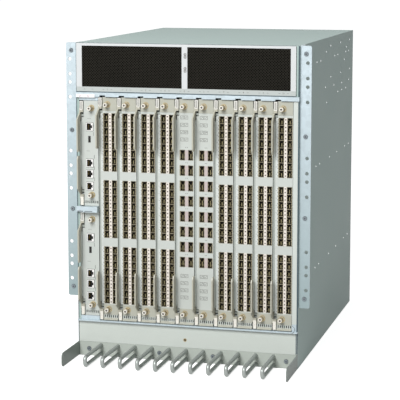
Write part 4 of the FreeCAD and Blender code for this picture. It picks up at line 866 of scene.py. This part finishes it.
made("mullion_fasteners", bm, mark_ink, "chassis")

lattice_tree, given, result = new_tree("Woven Lattice", [
    ("Pitch", "Float"), ("Wire", "Float"), ("Columns", "Int"), ("Rows", "Int"),
    ("Finish", "Material")])
slant = maths(lattice_tree, "MULTIPLY", given["Pitch"], 2 ** 0.5)
bar = add(lattice_tree, "ShaderNodeCombineXYZ", X=slant, Y=given["Wire"], Z=given["Wire"])
wire = add(lattice_tree, "GeometryNodeMeshCube", Size=bar.outputs[0])
cross = add(lattice_tree, "GeometryNodeJoinGeometry")
for tilt in (-45, 45):
    leaning = add(lattice_tree, "GeometryNodeTransform", Geometry=wire.outputs[0],
                  Rotation=(0.0, math.radians(tilt), 0.0))
    lattice_tree.links.new(leaning.outputs[0], cross.inputs[0])
copied = cross.outputs[0]
for count, axis in (("Columns", "X"), ("Rows", "Z")):
    step = add(lattice_tree, "ShaderNodeCombineXYZ", **{axis: given["Pitch"]})
    line = add(lattice_tree, "GeometryNodeMeshLine", Count=given[count], Offset=step.outputs[0])
    copied = add(lattice_tree, "GeometryNodeInstanceOnPoints", Points=line.outputs[0],
                 Instance=copied).outputs[0]
placed = add(lattice_tree, "GeometryNodeInstanceOnPoints", Points=given["Geometry"],
             Instance=copied)
close_tree(lattice_tree, given, result, placed.outputs[0])
for number, (x0, x1) in enumerate(windows, 1):
    columns = round((x1 - x0) / LATTICE_PITCH)
    rows = round((head - sill) / LATTICE_PITCH)
    start = (x0 + LATTICE_PITCH / 2, vent_low.y + 2.1, sill + LATTICE_PITCH / 2)
    piece = grown(f"vent_lattice_{number}", at_points([start]), lattice_tree, mesh_black,
                  "chassis", "grille_black", Pitch=LATTICE_PITCH * MM, Wire=LATTICE_WIRE * MM,
                  Columns=columns, Rows=rows)
    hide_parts("vent_grilles")
bm = bmesh.new()
block(bm, (windows[0][0] - 4, vent_low.y + 7, sill - 2),
      (windows[1][1] + 4, vent_low.y + 13, head + 2))
made("filter_foam", bm, foam_dark, "chassis")

# ---------------------------------------------------------------- lower bezel
# A plain panel of painted sheet steel under the cards, with a brass rimmed grounding jack
# let into it, and a dark strip of painted shade in the joint at each end.
bezel_paint = coat("bezel paint", (0.545, 0.585, 0.545), 0.48, spread=0.02, cloud=14.0)
dress(bezel_paint, "lower_bezel")
bezel_low, bezel_high = extent("lower_bezel")
jack_x, jack_z, panel_y = bezel_low.x + 216.4, bezel_low.z + 15.0, bezel_low.y
bm = bmesh.new()
ring(bm, (jack_x, panel_y + 0.1, jack_z), 3.3, 2.0, 0.6)
made("ground_jack_rim", bm, brass, "chassis")
bm = bmesh.new()
round_bar(bm, (jack_x, panel_y + 1.4, jack_z), (jack_x, panel_y + 1.0, jack_z), 2.2, 20)
made("ground_jack_bottom", bm, slot_dark, "chassis")
# painted shade: a dark strip in the joint at each end
bm = bmesh.new()
for x, thick in ((bezel_low.x + 0.05, 1.8), (bezel_high.x - 3.9, 0.8)):
    block(bm, (x, bezel_low.y - 0.12, bezel_low.z + 0.2),
          (x + thick, bezel_low.y, bezel_high.z - 0.2))
made("bezel_gap_shade", bm, gap_shade, "chassis")

# ---------------------------------------------------------------- cable comb
# A painted steel plate, its two wings darkened with painted shade, and eleven bent rod loops of
# dull steel that keep the cables apart. The rods are welded into the plate.
# the wings' darker colour is painted shade
WING_SHADE = (0.235, 0.27, 0.25)
ROD_STEEL = (0.32, 0.345, 0.33)
ROD_START = -0.3052  # these three are metres, as a shader reads them
ROD_REACH = 0.2
WING_START = 0.2155
comb_paint = coat("comb paint", (0.44, 0.48, 0.435), 0.5, spread=0.04, cloud=20.0, shine=0.15)


def comb_finish(material):
    """Paint on the plate, painted shade on its wings, and dull steel on the rods."""
    tree = material.node_tree
    shader = tree.nodes["Principled BSDF"]
    paint = shader.inputs["Base Color"].links[0].from_socket
    axes = object_axes(tree)
    ahead = maths(tree, "LESS_THAN", axes["Y"], ROD_START)
    spread = maths(tree, "ABSOLUTE", axes["X"])
    on_rod = maths(tree, "MULTIPLY", ahead, maths(tree, "LESS_THAN", spread, ROD_REACH))
    on_wing = maths(tree, "GREATER_THAN", spread, WING_START)
    paint_with_wing_shade = blend(tree, on_wing, paint, (*WING_SHADE, 1.0))
    colour = blend(tree, on_rod, paint_with_wing_shade, (*ROD_STEEL, 1.0))
    tree.links.new(colour, shader.inputs["Base Color"])
    tree.links.new(maths(tree, "MULTIPLY", on_rod, 0.6), shader.inputs["Metallic"])
    gloss = add(tree, "ShaderNodeMapRange", Value=on_rod, To_Min=0.46, To_Max=0.36)
    tree.links.new(gloss.outputs["Result"], shader.inputs["Roughness"])
    return material


dress(comb_finish(comb_paint), "cable_comb")

# ---------------------------------------------------------------- rack ears and screws
# Galvanised angle brackets on both sides, punched for the rack, with painted shade that darkens
# them towards the foot, and their pan head screws, with those of the cable comb.
EAR_FOOT_SHADE = (0.28, 0.355, 0.365)
HEAD_STEP = 154.0
shaded_ear_zinc = coat("rack ear zinc with painted shade", BRIGHT_ZINC, 0.42, spread=0.05, cloud=150.0, depth=0.02,
                metallic=0.3, spangle=True)
# painted shade: the ears' zinc turns darker from 520 mm down to 130 mm
toned(shaded_ear_zinc, "Z", 520.0, 130.0, EAR_FOOT_SHADE)
dress(shaded_ear_zinc, "rack_ear_left", "rack_ear_right")
screw_steel = coat("dull steel", (0.20, 0.23, 0.25), 0.33, spread=0.1, cloud=90.0, metallic=0.8)
dress(screw_steel, "chassis_screws")
ear_low, ear_high = extent("rack_ear_right")
heads = [(side * (cover_high.x + 11.0), ear_low.y - 1.8, ear_high.z - 15.2 - HEAD_STEP * number)
         for side in (-1, 1) for number in range(4)]
comb_heads = [(side * (cover_high.x - place), -306.8, 14.4) for side in (-1, 1)
              for place in (21.8, 165.0)]
rims, sockets = bmesh.new(), bmesh.new()
for number, (x, y, z) in enumerate(heads + comb_heads):
    ring(rims, (x, y + 1.7, z), 4.3, 3.7, 0.5, 24)
    turn = math.radians(31 * number)
    for angle in (turn, turn + math.pi / 2):
        dx, dz = 2.1 * math.cos(angle), 2.1 * math.sin(angle)
        round_bar(sockets, (x - dx, y - 0.02, z - dz), (x + dx, y - 0.02, z + dz), 0.42, 8)
made("screw_rims", rims, slot_dark, "chassis")
made("screw_recesses", sockets, slot_dark, "chassis")

# ---------------------------------------------------------------- floor, lamps and camera
# A pale floor and a soft sky, both near white to the camera, one broad lamp above the
# front left, and the camera.
FLOOR_GLOW = 0.86
SKY_LIGHT = 0.34
SKY_SEEN = 1.03
WHITE = (1.0, 1.0, 1.0, 1.0)
LAMP_AIM = Vector((0.0, -0.2, 0.3))


def seen_directly(tree):
    """1 for the rays that show a surface itself, in a mirror or glass too, and 0 for its light."""
    rays = add(tree, "ShaderNodeLightPath").outputs
    shown = maths(tree, "MAXIMUM", rays["Is Camera Ray"], rays["Is Glossy Ray"])
    return maths(tree, "MAXIMUM", shown, rays["Is Transmission Ray"])


bm = bmesh.new()
bmesh.ops.create_grid(bm, x_segments=1, y_segments=1, size=60000)
floor_finish = bpy.data.materials.new("pale floor")
floor_finish.use_nodes = True
tree = floor_finish.node_tree
shader = tree.nodes["Principled BSDF"]
shader.inputs["Base Color"].default_value = (0.55, 0.55, 0.55, 1.0)
shader.inputs["Roughness"].default_value = 0.9
shader.inputs["Specular IOR Level"].default_value = 0.0
shader.inputs["Emission Color"].default_value = WHITE
tree.links.new(maths(tree, "MULTIPLY", seen_directly(tree), FLOOR_GLOW),
               shader.inputs["Emission Strength"])
floor = made("floor", bm, floor_finish, None)

world = bpy.data.worlds.new("pale room")
bpy.context.scene.world = world
world.use_nodes = True
tree = world.node_tree
tree.nodes.clear()
level = add(tree, "ShaderNodeMapRange", Value=seen_directly(tree), To_Min=SKY_LIGHT,
            To_Max=SKY_SEEN)
sky = add(tree, "ShaderNodeBackground", Color=WHITE, Strength=level.outputs["Result"])
add(tree, "ShaderNodeOutputWorld", Surface=sky.outputs[0])

panel = bpy.data.lights.new("broad lamp", "AREA")
panel.shape = "SQUARE"
panel.size = 1.5
panel.energy = 130.0
key = bpy.data.objects.new("broad lamp", panel)
bpy.context.scene.collection.objects.link(key)
key.location = (-0.55, -3.0, 2.45)
key.rotation_euler = (LAMP_AIM - key.location).to_track_quat("-Z", "Y").to_euler()

camera = bpy.data.cameras.new("camera")
camera.lens = 140.8
camera.sensor_width = 36.0
camera.shift_y = -0.1
camera.clip_end = 300.0
holder = bpy.data.objects.new("camera", camera)
bpy.context.scene.collection.objects.link(holder)
holder.location = (0.77353, -3.14388, 0.78451)
holder.rotation_euler = (math.radians(90 - 7.573), 0.0, math.radians(14.719))
bpy.context.scene.camera = holder
bpy.context.scene.view_settings.view_transform = "Standard"
